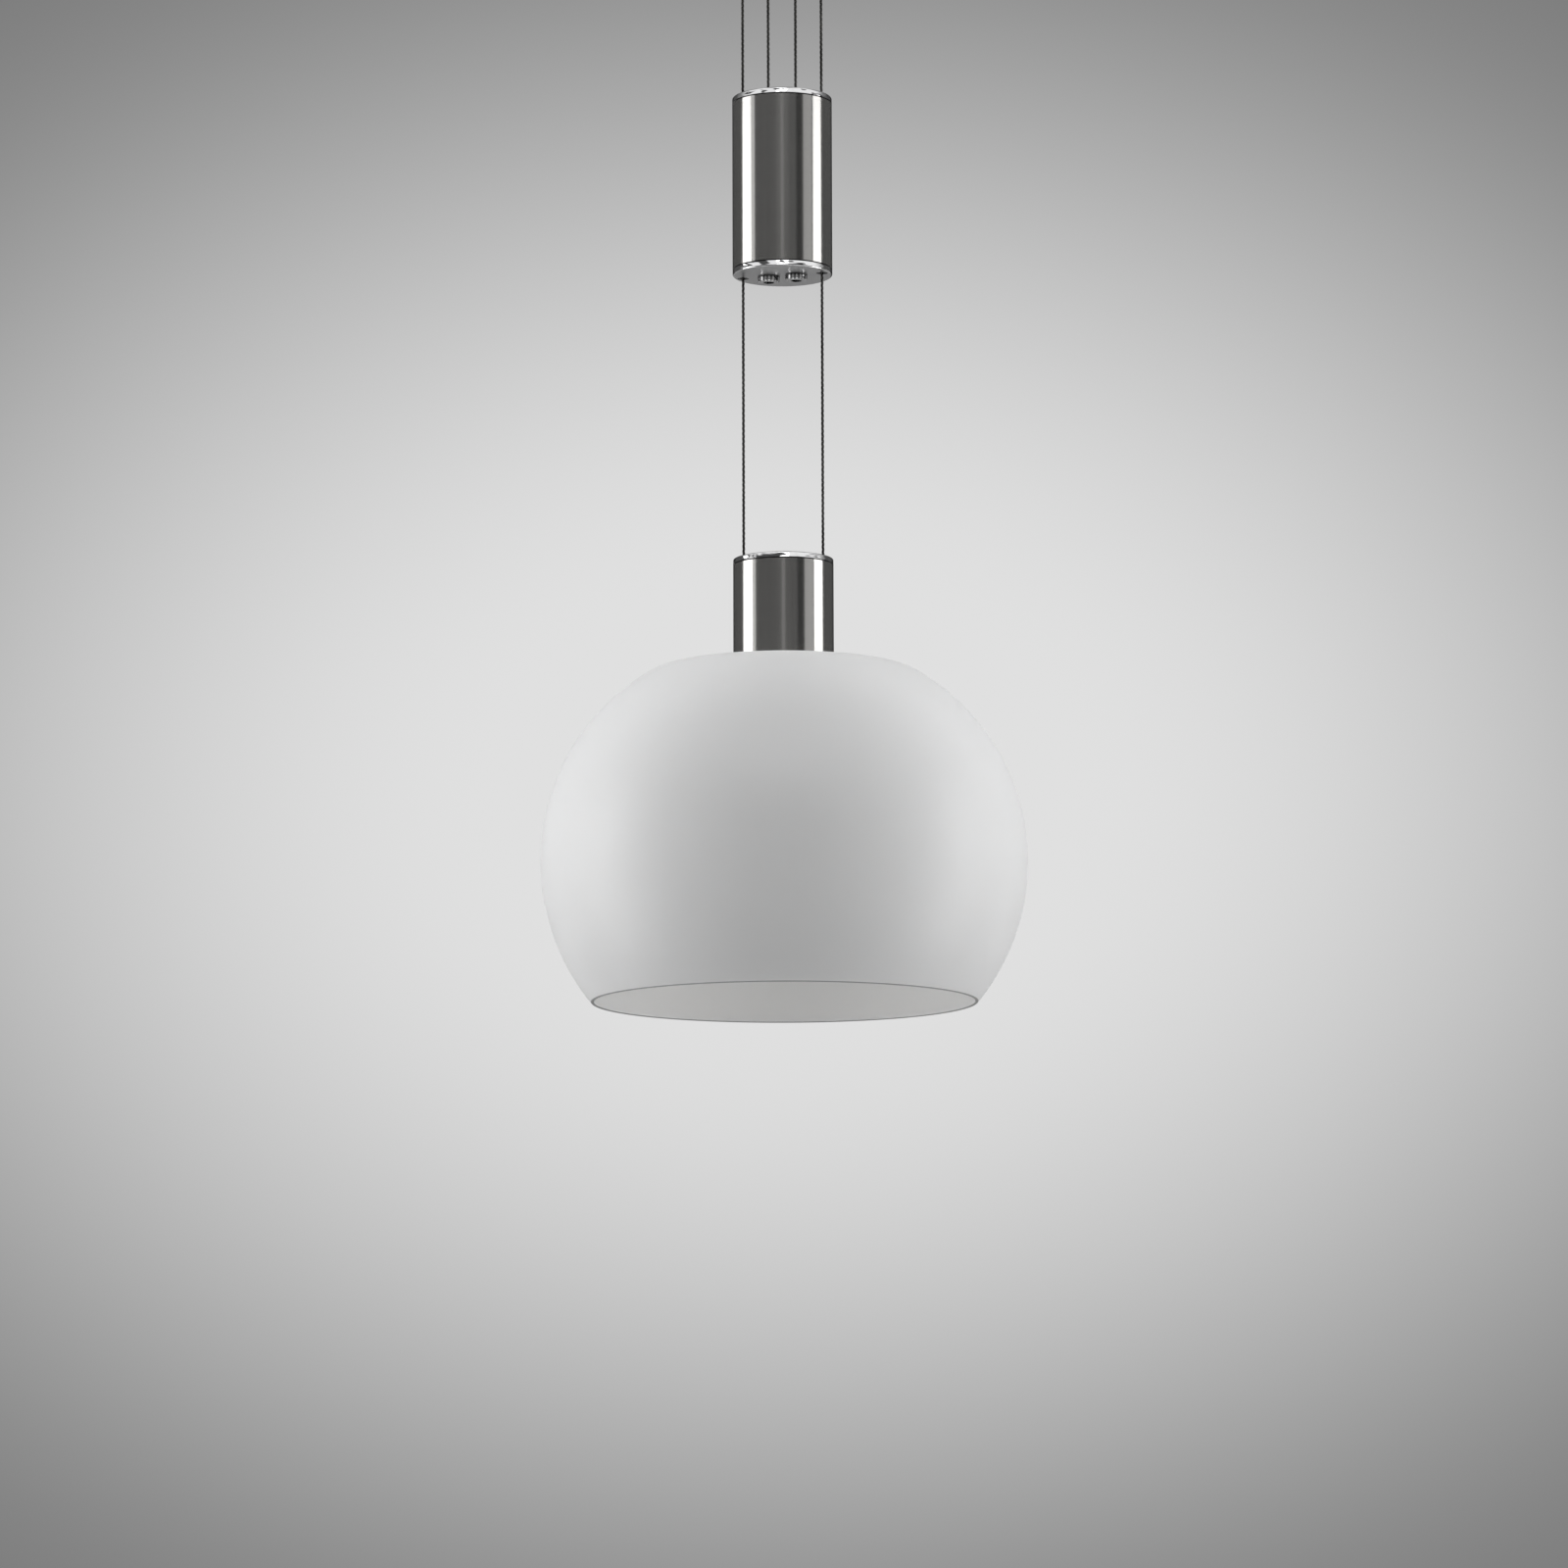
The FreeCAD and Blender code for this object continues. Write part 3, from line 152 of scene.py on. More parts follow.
def between(tree, value, start, end, low, high, easing="LINEAR"):
    """A value carried from one range over to another, and held at its ends."""
    node = tree.nodes.new("ShaderNodeMapRange")
    node.interpolation_type = easing
    for socket, number in zip(("From Min", "From Max", "To Min", "To Max"), (start, end, low, high)):
        node.inputs[socket].default_value = number
    tree.links.new(value, node.inputs["Value"])
    return node.outputs["Result"]


def cloudy(tree, cells, detail=3.0, place="Object"):
    """Noise with so many cells to the metre along x, y and z of the piece's own coordinates, or to the unit
    of another kind."""
    scale = tree.nodes.new("ShaderNodeMapping")
    scale.inputs["Scale"].default_value = cells
    noise = tree.nodes.new("ShaderNodeTexNoise")
    noise.inputs["Scale"].default_value = 1.0
    noise.inputs["Detail"].default_value = detail
    tree.links.new(coordinates(tree, place), scale.inputs["Vector"])
    tree.links.new(scale.outputs["Vector"], noise.inputs["Vector"])
    return noise.outputs["Fac"]


def build_world():
    """The backdrop as the camera sees it, the dimmer room that gloss and glass show, and the plain level
    that lights matt surfaces."""
    world = bpy.data.worlds.new("studio_world")
    bpy.context.scene.world = world
    world.use_nodes = True
    tree = world.node_tree
    tree.nodes.clear()
    link = tree.links.new
    direction = coordinates(tree, "Generated")
    turned = Matrix.Rotation(VIEW_TURN, 3, "Z")
    right = turned @ Vector((1, 0, 0))
    forward = turned @ Matrix.Rotation(VIEW_RISE, 3, "X") @ Vector((0, 1, 0))

    def along(axis):
        node = tree.nodes.new("ShaderNodeVectorMath")
        node.operation = "DOT_PRODUCT"
        node.inputs[1].default_value = axis
        link(direction, node.inputs[0])
        return node.outputs["Value"]

    def reckoned(operation, *values):
        return calculated(tree, operation, *values)

    def eased(value, start, end, low, high):
        return between(tree, value, start, end, low, high, "SMOOTHSTEP")

    sideways = along(right / BACKDROP_SPREAD)
    upwards = along(right.cross(forward))
    behind = reckoned("LESS_THAN", along(forward), 0.0)
    square = reckoned("ADD", reckoned("MULTIPLY", sideways, sideways), reckoned("MULTIPLY", upwards, upwards))
    off_spot = reckoned("SQRT", reckoned("ADD", square, behind))
    spot = eased(off_spot, SPOT_INNER, SPOT_OUTER, 1.0, 0.0)
    plain = eased(off_spot, SPOT_OUTER, BACKDROP_STARTS, SPOT_EDGE_LEVEL, BACKDROP_LEVEL)
    seen = reckoned("MULTIPLY_ADD", spot, SPOT_LEVEL - SPOT_EDGE_LEVEL, plain)

    height = height_of(tree, direction)
    streaks = reckoned("SUBTRACT", cloudy(tree, STREAK_CELLS, place="Generated"), 0.5)
    uneven = reckoned("MULTIPLY_ADD", streaks, ROOM_STREAK, ROOM_LEVEL)
    by_spot = eased(off_spot, SPOT_OUTER, ROOM_STARTS, ROOM_BY_SPOT, 1.0)
    towards_camera = along(right.cross(Vector((0, 0, 1))))
    turn = reckoned("ARCTAN2", along(right), towards_camera)
    flag_start = eased(turn, *FLAG_TURNS[:2], 0.0, FLAG_SHADE)
    flag = reckoned("MULTIPLY", flag_start, eased(turn, *FLAG_TURNS[2:], 1.0, 0.0))
    walls = reckoned("MULTIPLY", reckoned("MULTIPLY", uneven, by_spot), reckoned("SUBTRACT", 1.0, flag))
    overhead = eased(height, *CEILING_STARTS, 0.0, CEILING_LEVEL)
    ceiling = reckoned("MULTIPLY", overhead, eased(towards_camera, *CEILING_TURNS, CEILING_BEHIND, 1.0))
    room = reckoned("MULTIPLY_ADD", spot, SPOT_LEVEL - ROOM_LEVEL, reckoned("ADD", walls, ceiling))

    beyond = eased(along(forward), -1.0, 1.0, 0.0, AMBIENT_BEYOND)
    even = eased(height, *AMBIENT_HEIGHTS, AMBIENT_EVEN, AMBIENT_EVEN * AMBIENT_OVERHEAD)
    ambient = reckoned("ADD", beyond, even)

    rays = tree.nodes.new("ShaderNodeLightPath")
    mirrored = reckoned("MAXIMUM", rays.outputs["Is Glossy Ray"], rays.outputs["Is Transmission Ray"])
    shades = []
    for level in (ambient, room, seen):
        shade = tree.nodes.new("ShaderNodeBackground")
        link(level, shade.inputs["Color"])
        shades.append(shade.outputs[0])
    chosen = shades[0]
    for ray, shade in ((mirrored, shades[1]), (rays.outputs["Is Camera Ray"], shades[2])):
        mix = tree.nodes.new("ShaderNodeMixShader")
        link(ray, mix.inputs[0])
        link(chosen, mix.inputs[1])
        link(shade, mix.inputs[2])
        chosen = mix.outputs[0]
    out = tree.nodes.new("ShaderNodeOutputWorld")
    link(chosen, out.inputs["Surface"])


def principled(name, colour, metallic, roughness):
    """Material with its shader set; gives the material, the shader and the node tree."""
    material = bpy.data.materials.new(name)
    material.use_nodes = True
    shader = material.node_tree.nodes["Principled BSDF"]
    shader.inputs["Base Color"].default_value = (*colour, 1)
    shader.inputs["Metallic"].default_value = metallic
    shader.inputs["Roughness"].default_value = roughness
    return material, shader, material.node_tree


def floor_paint():
    """Pale to the camera, darker to the lamp, and clear from below, so that the lamp can be looked at from
    under the floor too."""
    material, shader, tree = principled("studio_floor", (FLOOR_BOUNCE, FLOOR_BOUNCE, FLOOR_BOUNCE), 0.0, 0.9)
    link = tree.links.new
    rays = tree.nodes.new("ShaderNodeLightPath")
    level = FLOOR_BOUNCE
    for ray, paleness in (("Is Camera Ray", FLOOR_PAINT), ("Is Glossy Ray", FLOOR_MIRRORED)):
        level = calculated(tree, "MULTIPLY_ADD", rays.outputs[ray], paleness - FLOOR_BOUNCE, level)
    link(level, shader.inputs["Base Color"])
    seen_from = tree.nodes.new("ShaderNodeNewGeometry")
    clear = tree.nodes.new("ShaderNodeBsdfTransparent")
    either = tree.nodes.new("ShaderNodeMixShader")
    link(seen_from.outputs["Backfacing"], either.inputs[0])
    link(shader.outputs[0], either.inputs[1])
    link(clear.outputs[0], either.inputs[2])
    link(either.outputs[0], tree.nodes["Material Output"].inputs["Surface"])
    return material


def build_floor():
    mesh = bpy.data.meshes.new("studio_floor")
    corners = [(-1, -1), (1, -1), (1, 1), (-1, 1)]
    mesh.from_pydata([(x * FLOOR_REACH, y * FLOOR_REACH, FLOOR_Z) for x, y in corners], [], [(0, 1, 2, 3)])
    mesh.materials.append(floor_paint())
    floor = bpy.data.objects.new("studio_floor", mesh)
    bpy.context.scene.collection.objects.link(floor)


bpy.context.scene.view_settings.view_transform = "Standard"
build_camera()
build_world()
build_floor()
soft_box("soft_box_left", turn=-90, away=1.9, height=-0.75, width=1.0, tall=2.2, watts=15.8)
soft_box("soft_box_right", turn=88, away=1.9, height=-0.75, width=0.9, tall=2.2, watts=13.2)
soft_box("soft_box_front", turn=0, away=2.9, height=2.3, width=1.6, tall=1.2, watts=11)
soft_box("reflector_left", turn=-71, away=1.9, height=-0.55, width=0.3, tall=2.2, watts=1.2)
soft_box("reflector_right", turn=61, away=1.9, height=-0.55, width=0.77, tall=2.2, watts=1.8)
soft_box("reflector_front", turn=0, away=4.5, height=-0.3, width=0.6, tall=2.5, watts=0.55)

# ---------------------------------------------------------------- ceiling bracket, posts and screws
# A zinc-plated steel strip is screwed to the ceiling through its two slots. Two hexagon posts are riveted
# to its ends, and the earth screw stands beside its middle.
MICRON = 0.000001
NOISE_SPREAD = (0.3, 0.7)  # nearly all of a noise lies between these


def roughened(tree, shader, value, smooth, rough):
    """Roughness that follows a noise value."""
    tree.links.new(between(tree, value, *NOISE_SPREAD, smooth, rough), shader.inputs["Roughness"])


def tinted(tree, shader, value, dark, light):
    """Colour that follows a noise value."""
    ramp = tree.nodes.new("ShaderNodeValToRGB")
    for stop, place, colour in zip(ramp.color_ramp.elements, NOISE_SPREAD, (dark, light)):
        stop.position = place
        stop.color = (*colour, 1)
    tree.links.new(value, ramp.inputs["Fac"])
    tree.links.new(ramp.outputs["Color"], shader.inputs["Base Color"])


def raised(tree, shader, value, depth):
    """Bump from a noise value, with its depth in metres."""
    bump = tree.nodes.new("ShaderNodeBump")
    bump.inputs["Distance"].default_value = depth
    tree.links.new(value, bump.inputs["Height"])
    tree.links.new(bump.outputs["Normal"], shader.inputs["Normal"])


def dress(material, *names):
    """Gives nodes of the frame their finish."""
    for name in names:
        for slot in nodes[name].material_slots:
            slot.material = material


def zinc_plate():
    material, shader, tree = principled("zinc_plate", (0.50, 0.52, 0.54), 1.0, 0.34)
    spangle = cloudy(tree, (420, 420, 420), 2.0)
    roughened(tree, shader, spangle, 0.26, 0.46)
    tinted(tree, shader, cloudy(tree, (90, 90, 90)), (0.42, 0.44, 0.47), (0.58, 0.59, 0.58))
    raised(tree, shader, spangle, 4 * MICRON)
    return material


def turned_brass():
    material, shader, tree = principled("turned_brass", (0.72, 0.52, 0.22), 1.0, 0.24)
    roughened(tree, shader, cloudy(tree, (2500, 2500, 2500), 2.0), 0.18, 0.32)
    tinted(tree, shader, cloudy(tree, (160, 160, 160)), (0.60, 0.42, 0.16), (0.80, 0.61, 0.29))
    return material


zinc = zinc_plate()
brass = turned_brass()
dress(zinc, "ceiling_bracket", "support_posts")
dress(brass, "earth_screw")

# ---------------------------------------------------------------- canopy
# A brushed nickel tube, closed below by a polished plate. Two domed screws hold the plate up to the posts,
# and four black bushes keep the live wires clear of its metal.
MM = 0.001
BRUSH_LINE = 0.14 * MM
CHAMFER_LEAN = (0.15, 0.4)
LEVEL_LEAN = (0.985, 0.999)  # a face past this lean is a flat end
PAINTED_JOINT_SHADE = 0.04  # share of the colour left where shade is painted into a joint
RING_SHARE = 3 / 7  # a plate is 3 mm of rim and 4 mm of spigot
JOINT_SHARE = 0.45 / 7
RING_LEAN = (0.0, 0.62)  # the buffed rim leans up by this much, from wave to wave
RING_WAVES = (130, 130, 500)


def darkened(tree, shader, share):
    """Scales the colour that feeds the shader by a value."""
    socket = shader.inputs["Base Color"]
    scale = tree.nodes.new("ShaderNodeVectorMath")
    scale.operation = "SCALE"
    tree.links.new(socket.links[0].from_socket, scale.inputs[0])
    tree.links.new(share, scale.inputs["Scale"])
    tree.links.new(scale.outputs[0], socket)


def slope(tree):
    """How far a face leans from the upright: 0 on a wall, 1 on a level face."""
    return calculated(tree, "ABSOLUTE", height_of(tree, coordinates(tree, "Normal")))


def brushed_nickel():
    """Brushed round the tube, so that highlights draw out along it. Shade is painted dark into the chamfered
    ends, where the tube meets its plates.
    """
    material, shader, tree = principled("brushed_nickel", (0.66, 0.65, 0.63), 1.0, 0.18)
    shader.inputs["Anisotropic"].default_value = 0.85
    shader.inputs["Anisotropic Rotation"].default_value = 0.25
    tangent = tree.nodes.new("ShaderNodeTangent")
    tangent.direction_type = "RADIAL"
    tangent.axis = "Z"
    tree.links.new(tangent.outputs["Tangent"], shader.inputs["Tangent"])
    lines = cloudy(tree, (70, 70, 1 / BRUSH_LINE), 2.0)
    roughened(tree, shader, lines, 0.17, 0.20)
    tinted(tree, shader, lines, (0.65, 0.64, 0.62), (0.68, 0.67, 0.65))
    # painted shade: the chamfered ends, where the tube meets its plates, are darkened nearly to black
    darkened(tree, shader, between(tree, slope(tree), *CHAMFER_LEAN, 1.0, PAINTED_JOINT_SHADE))
    raised(tree, shader, lines, 0.1 * MICRON)
    return material


def polished_chrome(name):
    """Mirror finish on edges and domes; the flat faces are left as they came off the lathe."""
    material, shader, tree = principled(name, (0.80, 0.80, 0.81), 1.0, 0.06)
    turned = between(tree, slope(tree), *LEVEL_LEAN, 0.05, 0.34)
    smudged = calculated(tree, "MULTIPLY_ADD", cloudy(tree, (140, 140, 140), 5.0), 0.05, turned)
    tree.links.new(smudged, shader.inputs["Roughness"])
    tinted(tree, shader, cloudy(tree, (60, 60, 60)), (0.76, 0.76, 0.77), (0.84, 0.84, 0.84))
    darkened(tree, shader, between(tree, slope(tree), *LEVEL_LEAN, 1.0, 0.72))
    return material, shader, tree


def polished_ring(name, joint):
    """Chrome for a plate that ends a tube. Its rim is turned a little conical and buffed by hand, which
    leaves it wavy, and shade is painted dark along its joint, at this share of the plate's height."""
    material, shader, tree = polished_chrome(name)
    link = tree.links.new
    upward = tree.nodes.new("ShaderNodeCombineXYZ")
    link(between(tree, cloudy(tree, RING_WAVES, 1.0), *NOISE_SPREAD, *RING_LEAN), upward.inputs["Z"])
    leaning = tree.nodes.new("ShaderNodeVectorMath")
    leaning.operation = "ADD"
    link(tree.nodes.new("ShaderNodeNewGeometry").outputs["Normal"], leaning.inputs[0])
    link(upward.outputs["Vector"], leaning.inputs[1])
    unit = tree.nodes.new("ShaderNodeVectorMath")
    unit.operation = "NORMALIZE"
    link(leaning.outputs[0], unit.inputs[0])
    link(unit.outputs[0], shader.inputs["Normal"])
    from_joint = calculated(tree, "SUBTRACT", height_of(tree, coordinates(tree, "Generated")), joint)
    gap = calculated(tree, "ABSOLUTE", from_joint)
    # painted shade: a dark band along the joint where the plate meets its tube
    darkened(tree, shader, between(tree, gap, 0.7 * JOINT_SHARE, JOINT_SHARE, PAINTED_JOINT_SHADE, 1.0))
    return material


def black_moulding():
    material, shader, tree = principled("black_moulding", (0.025, 0.025, 0.026), 0.0, 0.45)
    grain = cloudy(tree, (1800, 1800, 1800))
    roughened(tree, shader, grain, 0.38, 0.55)
    tinted(tree, shader, cloudy(tree, (200, 200, 200)), (0.018, 0.018, 0.019), (0.035, 0.035, 0.036))
    raised(tree, shader, grain, 6 * MICRON)
    return material


nickel = brushed_nickel()
chrome = polished_chrome("polished_chrome")[0]
ring_over_tube = polished_ring("polished_ring_over_tube", 1 - RING_SHARE)
ring_under_tube = polished_ring("polished_ring_under_tube", RING_SHARE)
black = black_moulding()
dress(nickel, "canopy_tube")
dress(chrome, "dome_screws")
dress(ring_under_tube, "canopy_floor")
dress(black, "canopy_bushes")

# ---------------------------------------------------------------- pulley set
# A white moulded carrier is bolted to the canopy's floor. On it stand two brass yokes, each with a grooved
# brass wheel that turns on a steel axle in a bronze bush, held by a spring clip.


def white_moulding():
    material, shader, tree = principled("white_moulding", (0.80, 0.80, 0.77), 0.0, 0.42)
    grain = cloudy(tree, (1500, 1500, 1500))
    roughened(tree, shader, grain, 0.36, 0.52)
    tinted(tree, shader, cloudy(tree, (120, 120, 120)), (0.76, 0.76, 0.72), (0.84, 0.84, 0.81))
    raised(tree, shader, grain, 8 * MICRON)
    return material


def sintered_bronze():
    material, shader, tree = principled("sintered_bronze", (0.45, 0.29, 0.13), 1.0, 0.5)
    pores = cloudy(tree, (5200, 5200, 5200), 2.0)
    roughened(tree, shader, pores, 0.38, 0.66)
    tinted(tree, shader, pores, (0.30, 0.19, 0.09), (0.55, 0.37, 0.18))
    raised(tree, shader, pores, 10 * MICRON)
    return material


white = white_moulding()
bronze = sintered_bronze()
dress(white, "pulley_carrier")
dress(zinc, "carrier_nuts", "yoke_screws", "axle_clips")
for side in ("left", "right"):
    dress(brass, f"pulley_yoke_{side}", f"pulley_wheel_{side}")
    dress(bronze, f"pulley_bush_{side}")
    dress(zinc, f"pulley_axle_{side}")

# ---------------------------------------------------------------- supply and leads in the canopy
# A moulded low-voltage supply lies beside the pulleys and a terminal strip on their other side. Soft
# sleeved leads join them to each other, to the yokes and to the earth screw.


def soft_sleeve(name, colour, roughness=0.4):
    """Extruded sleeve with a faint draw along it."""
    material, shader, tree = principled(name, colour, 0.0, roughness)
    drawn = cloudy(tree, (700, 700, 700), 2.0)
    roughened(tree, shader, drawn, roughness - 0.06, roughness + 0.1)
    dark = tuple(0.86 * part for part in colour)
    light = tuple(min(1.0, 1.08 * part) for part in colour)
    tinted(tree, shader, cloudy(tree, (150, 150, 150)), dark, light)
    raised(tree, shader, drawn, 8 * MICRON)
    return material


clear_sleeve = soft_sleeve("clear_sleeve", (0.66, 0.65, 0.62), 0.22)
dress(white, "driver_box", "terminal_block")
dress(zinc, "terminal_screws")
dress(soft_sleeve("mains_sleeve", (0.52, 0.52, 0.50)), "mains_leads")
dress(soft_sleeve("earth_sleeve", (0.26, 0.48, 0.08)), "earth_lead")
dress(clear_sleeve, "feed_leads")

# ---------------------------------------------------------------- suspension wires
# Each wire is three steel strands laid up together. It runs from the lamp head up through the
# counterweight, over its pulley and down again to the counterweight, and carries the lamp's current.
WIRE_LAY = 7.8 * MM  # length of one full turn of a strand
STRANDS = 3
STRAND_SIDES = 8
STRAND_CREASE = 60.0  # degrees; only the cut ends stay sharp
RINGS_PER_LAY = 12


def new_piece(name, vertices, faces, material, crease):
    """Mesh object with smooth faces and sharp edges where they meet at more than the given degrees."""
    mesh = bpy.data.meshes.new(name)
    mesh.from_pydata(vertices, [], faces)
    work = bmesh.new()
    work.from_mesh(mesh)
    bmesh.ops.recalc_face_normals(work, faces=work.faces)
    for face in work.faces:
        face.smooth = True
    for edge in work.edges:
        if len(edge.link_faces) == 2 and edge.calc_face_angle(0.0) > math.radians(crease):
            edge.smooth = False
    work.to_mesh(mesh)
    work.free()
    mesh.materials.append(material)
    piece = bpy.data.objects.new(name, mesh)
    bpy.context.scene.collection.objects.link(piece)
    return piece


def wire_steel():
    material, shader, tree = principled("wire_steel", (0.07, 0.068, 0.066), 1.0, 0.24)
    shader.inputs["Specular Tint"].default_value = (0.3, 0.3, 0.3, 1)
    roughened(tree, shader, cloudy(tree, (9000, 9000, 500)), 0.18, 0.30)
    tinted(tree, shader, cloudy(tree, (300, 300, 60)), (0.04, 0.039, 0.037), (0.11, 0.108, 0.104))
    return material


def laid_up(name, centres, ways, across, diameter, material):
    """Strands wound round a line. The line is given by its points, its direction and a vector across it
    at each point."""
    strand_r = diameter / 2 / (1 + 2 / math.sqrt(3))
    away = diameter / 2 - strand_r
    third = np.cross(ways, across)
    steps = np.linalg.norm(np.diff(centres, axis=0), axis=1)
    along = np.concatenate([[0], np.cumsum(steps)])
    count = len(centres)
    vertices = []
    faces = []
    for strand in range(STRANDS):
        turn = 2 * math.pi * (along / WIRE_LAY + strand / STRANDS)
        outward = np.cos(turn)[:, None] * across + np.sin(turn)[:, None] * third
        middle = centres + away * outward
        heading = np.gradient(middle, axis=0)
        heading /= np.linalg.norm(heading, axis=1)[:, None]
        sideways = np.cross(heading, outward)
        base = len(vertices)
        for side in range(STRAND_SIDES):
            angle = 2 * math.pi * side / STRAND_SIDES
            rim = middle + strand_r * (math.cos(angle) * outward + math.sin(angle) * sideways)
            vertices.extend(rim.tolist())
        for side in range(STRAND_SIDES):
            a = base + side * count
            b = base + (side + 1) % STRAND_SIDES * count
            faces.extend((a + i, b + i, b + i + 1, a + i + 1) for i in range(count - 1))
        faces.append([base + side * count for side in range(STRAND_SIDES)])
        faces.append([base + side * count + count - 1 for side in reversed(range(STRAND_SIDES))])
    return new_piece(name, vertices, faces, material, STRAND_CREASE)


def upright_wire(node, material):
    """Straight run between the pulley and the lamp or the counterweight."""
    low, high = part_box(node)
    x = (low.x + high.x) / 2
    y = (low.y + high.y) / 2
    count = int((high.z - low.z) / WIRE_LAY * RINGS_PER_LAY) + 1
    heights = np.linspace(high.z, low.z, count)
    centres = np.stack([np.full(count, x), np.full(count, y), heights], axis=1)
    ways = np.tile([0.0, 0.0, -1.0], (count, 1))
    across = np.tile([1.0, 0.0, 0.0], (count, 1))
    piece = laid_up(f"{node}_strands", centres, ways, across, high.x - low.x, material)
    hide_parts(node)
    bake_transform(piece)


def half_turn(node, material):
    """The wire where it lies in the pulley's groove."""
    low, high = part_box(node)
    diameter = high.y - low.y
    bend_r = (high.x - low.x - diameter) / 2
    count = int(math.pi * bend_r / WIRE_LAY * RINGS_PER_LAY) + 1
    turn = np.linspace(0, math.pi, count)
    outward = np.stack([np.cos(turn), np.zeros(count), np.sin(turn)], axis=1)
    ways = np.stack([-np.sin(turn), np.zeros(count), np.cos(turn)], axis=1)
    centre = np.array([(low.x + high.x) / 2, (low.y + high.y) / 2, low.z])
    piece = laid_up(f"{node}_strands", centre + bend_r * outward, ways, outward, diameter, material)
    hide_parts(node)
    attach(piece, "ceiling_unit")


steel = wire_steel()
for side in ("left", "right"):
    upright_wire(f"lamp_wire_{side}", steel)
    upright_wire(f"weight_wire_{side}", steel)
    half_turn(f"wire_over_pulley_{side}", steel)

# ---------------------------------------------------------------- counterweight
# A brushed tube round a steel core, with a polished plate spigoted into either end and one long screw
# through all of it. The outer wires slide in black liners; the inner ones hang from two fluted grips.
FLUTE_REACH = 1.5 * MM  # metal nearer than this keeps light out of a flute
FLUTE_OPEN = (0.55, 0.93)  # share of open sky at which the painted shade starts to thin, and is gone


def machined_steel():
    material, shader, tree = principled("machined_steel", (0.36, 0.36, 0.37), 1.0, 0.36)
    tooling = cloudy(tree, (60, 60, 5200))
    roughened(tree, shader, tooling, 0.28, 0.46)
    tinted(tree, shader, cloudy(tree, (70, 70, 70)), (0.29, 0.29, 0.30), (0.42, 0.42, 0.42))
    raised(tree, shader, tooling, 4 * MICRON)
    return material


def fluted_chrome():
    """Chrome with shade painted dark down in the flutes and the socket, where little light comes."""
    material, shader, tree = polished_chrome("fluted_chrome")
    open_sky = tree.nodes.new("ShaderNodeAmbientOcclusion")
    open_sky.inputs["Distance"].default_value = FLUTE_REACH
    # painted shade: the flutes and the socket are darkened where metal lies close by
    darkened(tree, shader, between(tree, open_sky.outputs["AO"], *FLUTE_OPEN, 0.02, 1.0))
    return material


dress(nickel, "weight_tube")
dress(ring_over_tube, "weight_top_plate")
dress(ring_under_tube, "weight_bottom_plate")
dress(machined_steel(), "ballast_core")
dress(zinc, "tie_screw")
dress(black, "guide_liners", "grip_liners", "liner_collars", "grip_sleeves")
fluted = fluted_chrome()
for side in ("left", "right"):
    dress(fluted, f"wire_grip_{side}")
    dress(zinc, f"weight_ferrule_{side}")

# ---------------------------------------------------------------- lamp head
# A short brushed tube under a polished plate. The wires end in it, in crimped ferrules under black bushes,
# and soft leads go on from there into the threaded tube that holds head, shade and lamp together.
THREAD_PITCH = 1.0 * MM
THREAD_DEPTH = 0.35 * MM
WAVE_BAND = 0.314  # a wave texture's bands lie this far apart at a scale of 1


def threaded_steel():
    material, shader, tree = principled("threaded_steel", (0.50, 0.51, 0.52), 1.0, 0.32)
    ridges = tree.nodes.new("ShaderNodeTexWave")
    ridges.bands_direction = "Z"
    ridges.wave_profile = "TRI"
    ridges.inputs["Scale"].default_value = WAVE_BAND / THREAD_PITCH
    tree.links.new(coordinates(tree, "Object"), ridges.inputs["Vector"])
    raised(tree, shader, ridges.outputs["Fac"], THREAD_DEPTH)
    roughened(tree, shader, cloudy(tree, (600, 600, 600)), 0.26, 0.42)
    return material


dress(nickel, "head_tube")
dress(ring_over_tube, "head_plate")
dress(black, "head_bushes")
dress(brass, "head_ferrules")
dress(threaded_steel(), "nipple")
dress(clear_sleeve, "lamp_leads")

# ---------------------------------------------------------------- glass shade
# Opal glass blown in a turning mould, so it is quite even: a ground flat top with a round hole, and a cut
# rim that the flame has drawn to a half round. Its skin is etched to a silky matt.
GLASS_WALL = 3.0 * MM
RIM_WALL = 1.8 * MM
CROWN_ARC_R = 108.0 * MM
CROWN_CUT = 11.7 * MM  # the ground top lies this far below where the crown's arc would reach
SHOULDER_R = 26.0 * MM
SKIRT_ARC_R = 111.0 * MM
SKIRT_DEPTH = 70.2 * MM  # from the widest level down to the rim
NECK_HOLE_R = 21.0 * MM
RIM_LINE = 0.35 * MM  # height of the grey line
SHADE_STEPS = 144  # round the shade
SKIRT_STEPS = 22
CROWN_STEPS = 26
SHOULDER_STEPS = 12
RIM_STEPS = 8
GLASS_CREASE = 40.0  # degrees


def arc_points(centre, radius, start, end, steps):
    """Points on an arc of the half section, from one angle to another."""
    angles = [start + (end - start) * i / steps for i in range(steps + 1)]
    return [(centre[0] + radius * math.cos(a), centre[1] + radius * math.sin(a)) for a in angles]


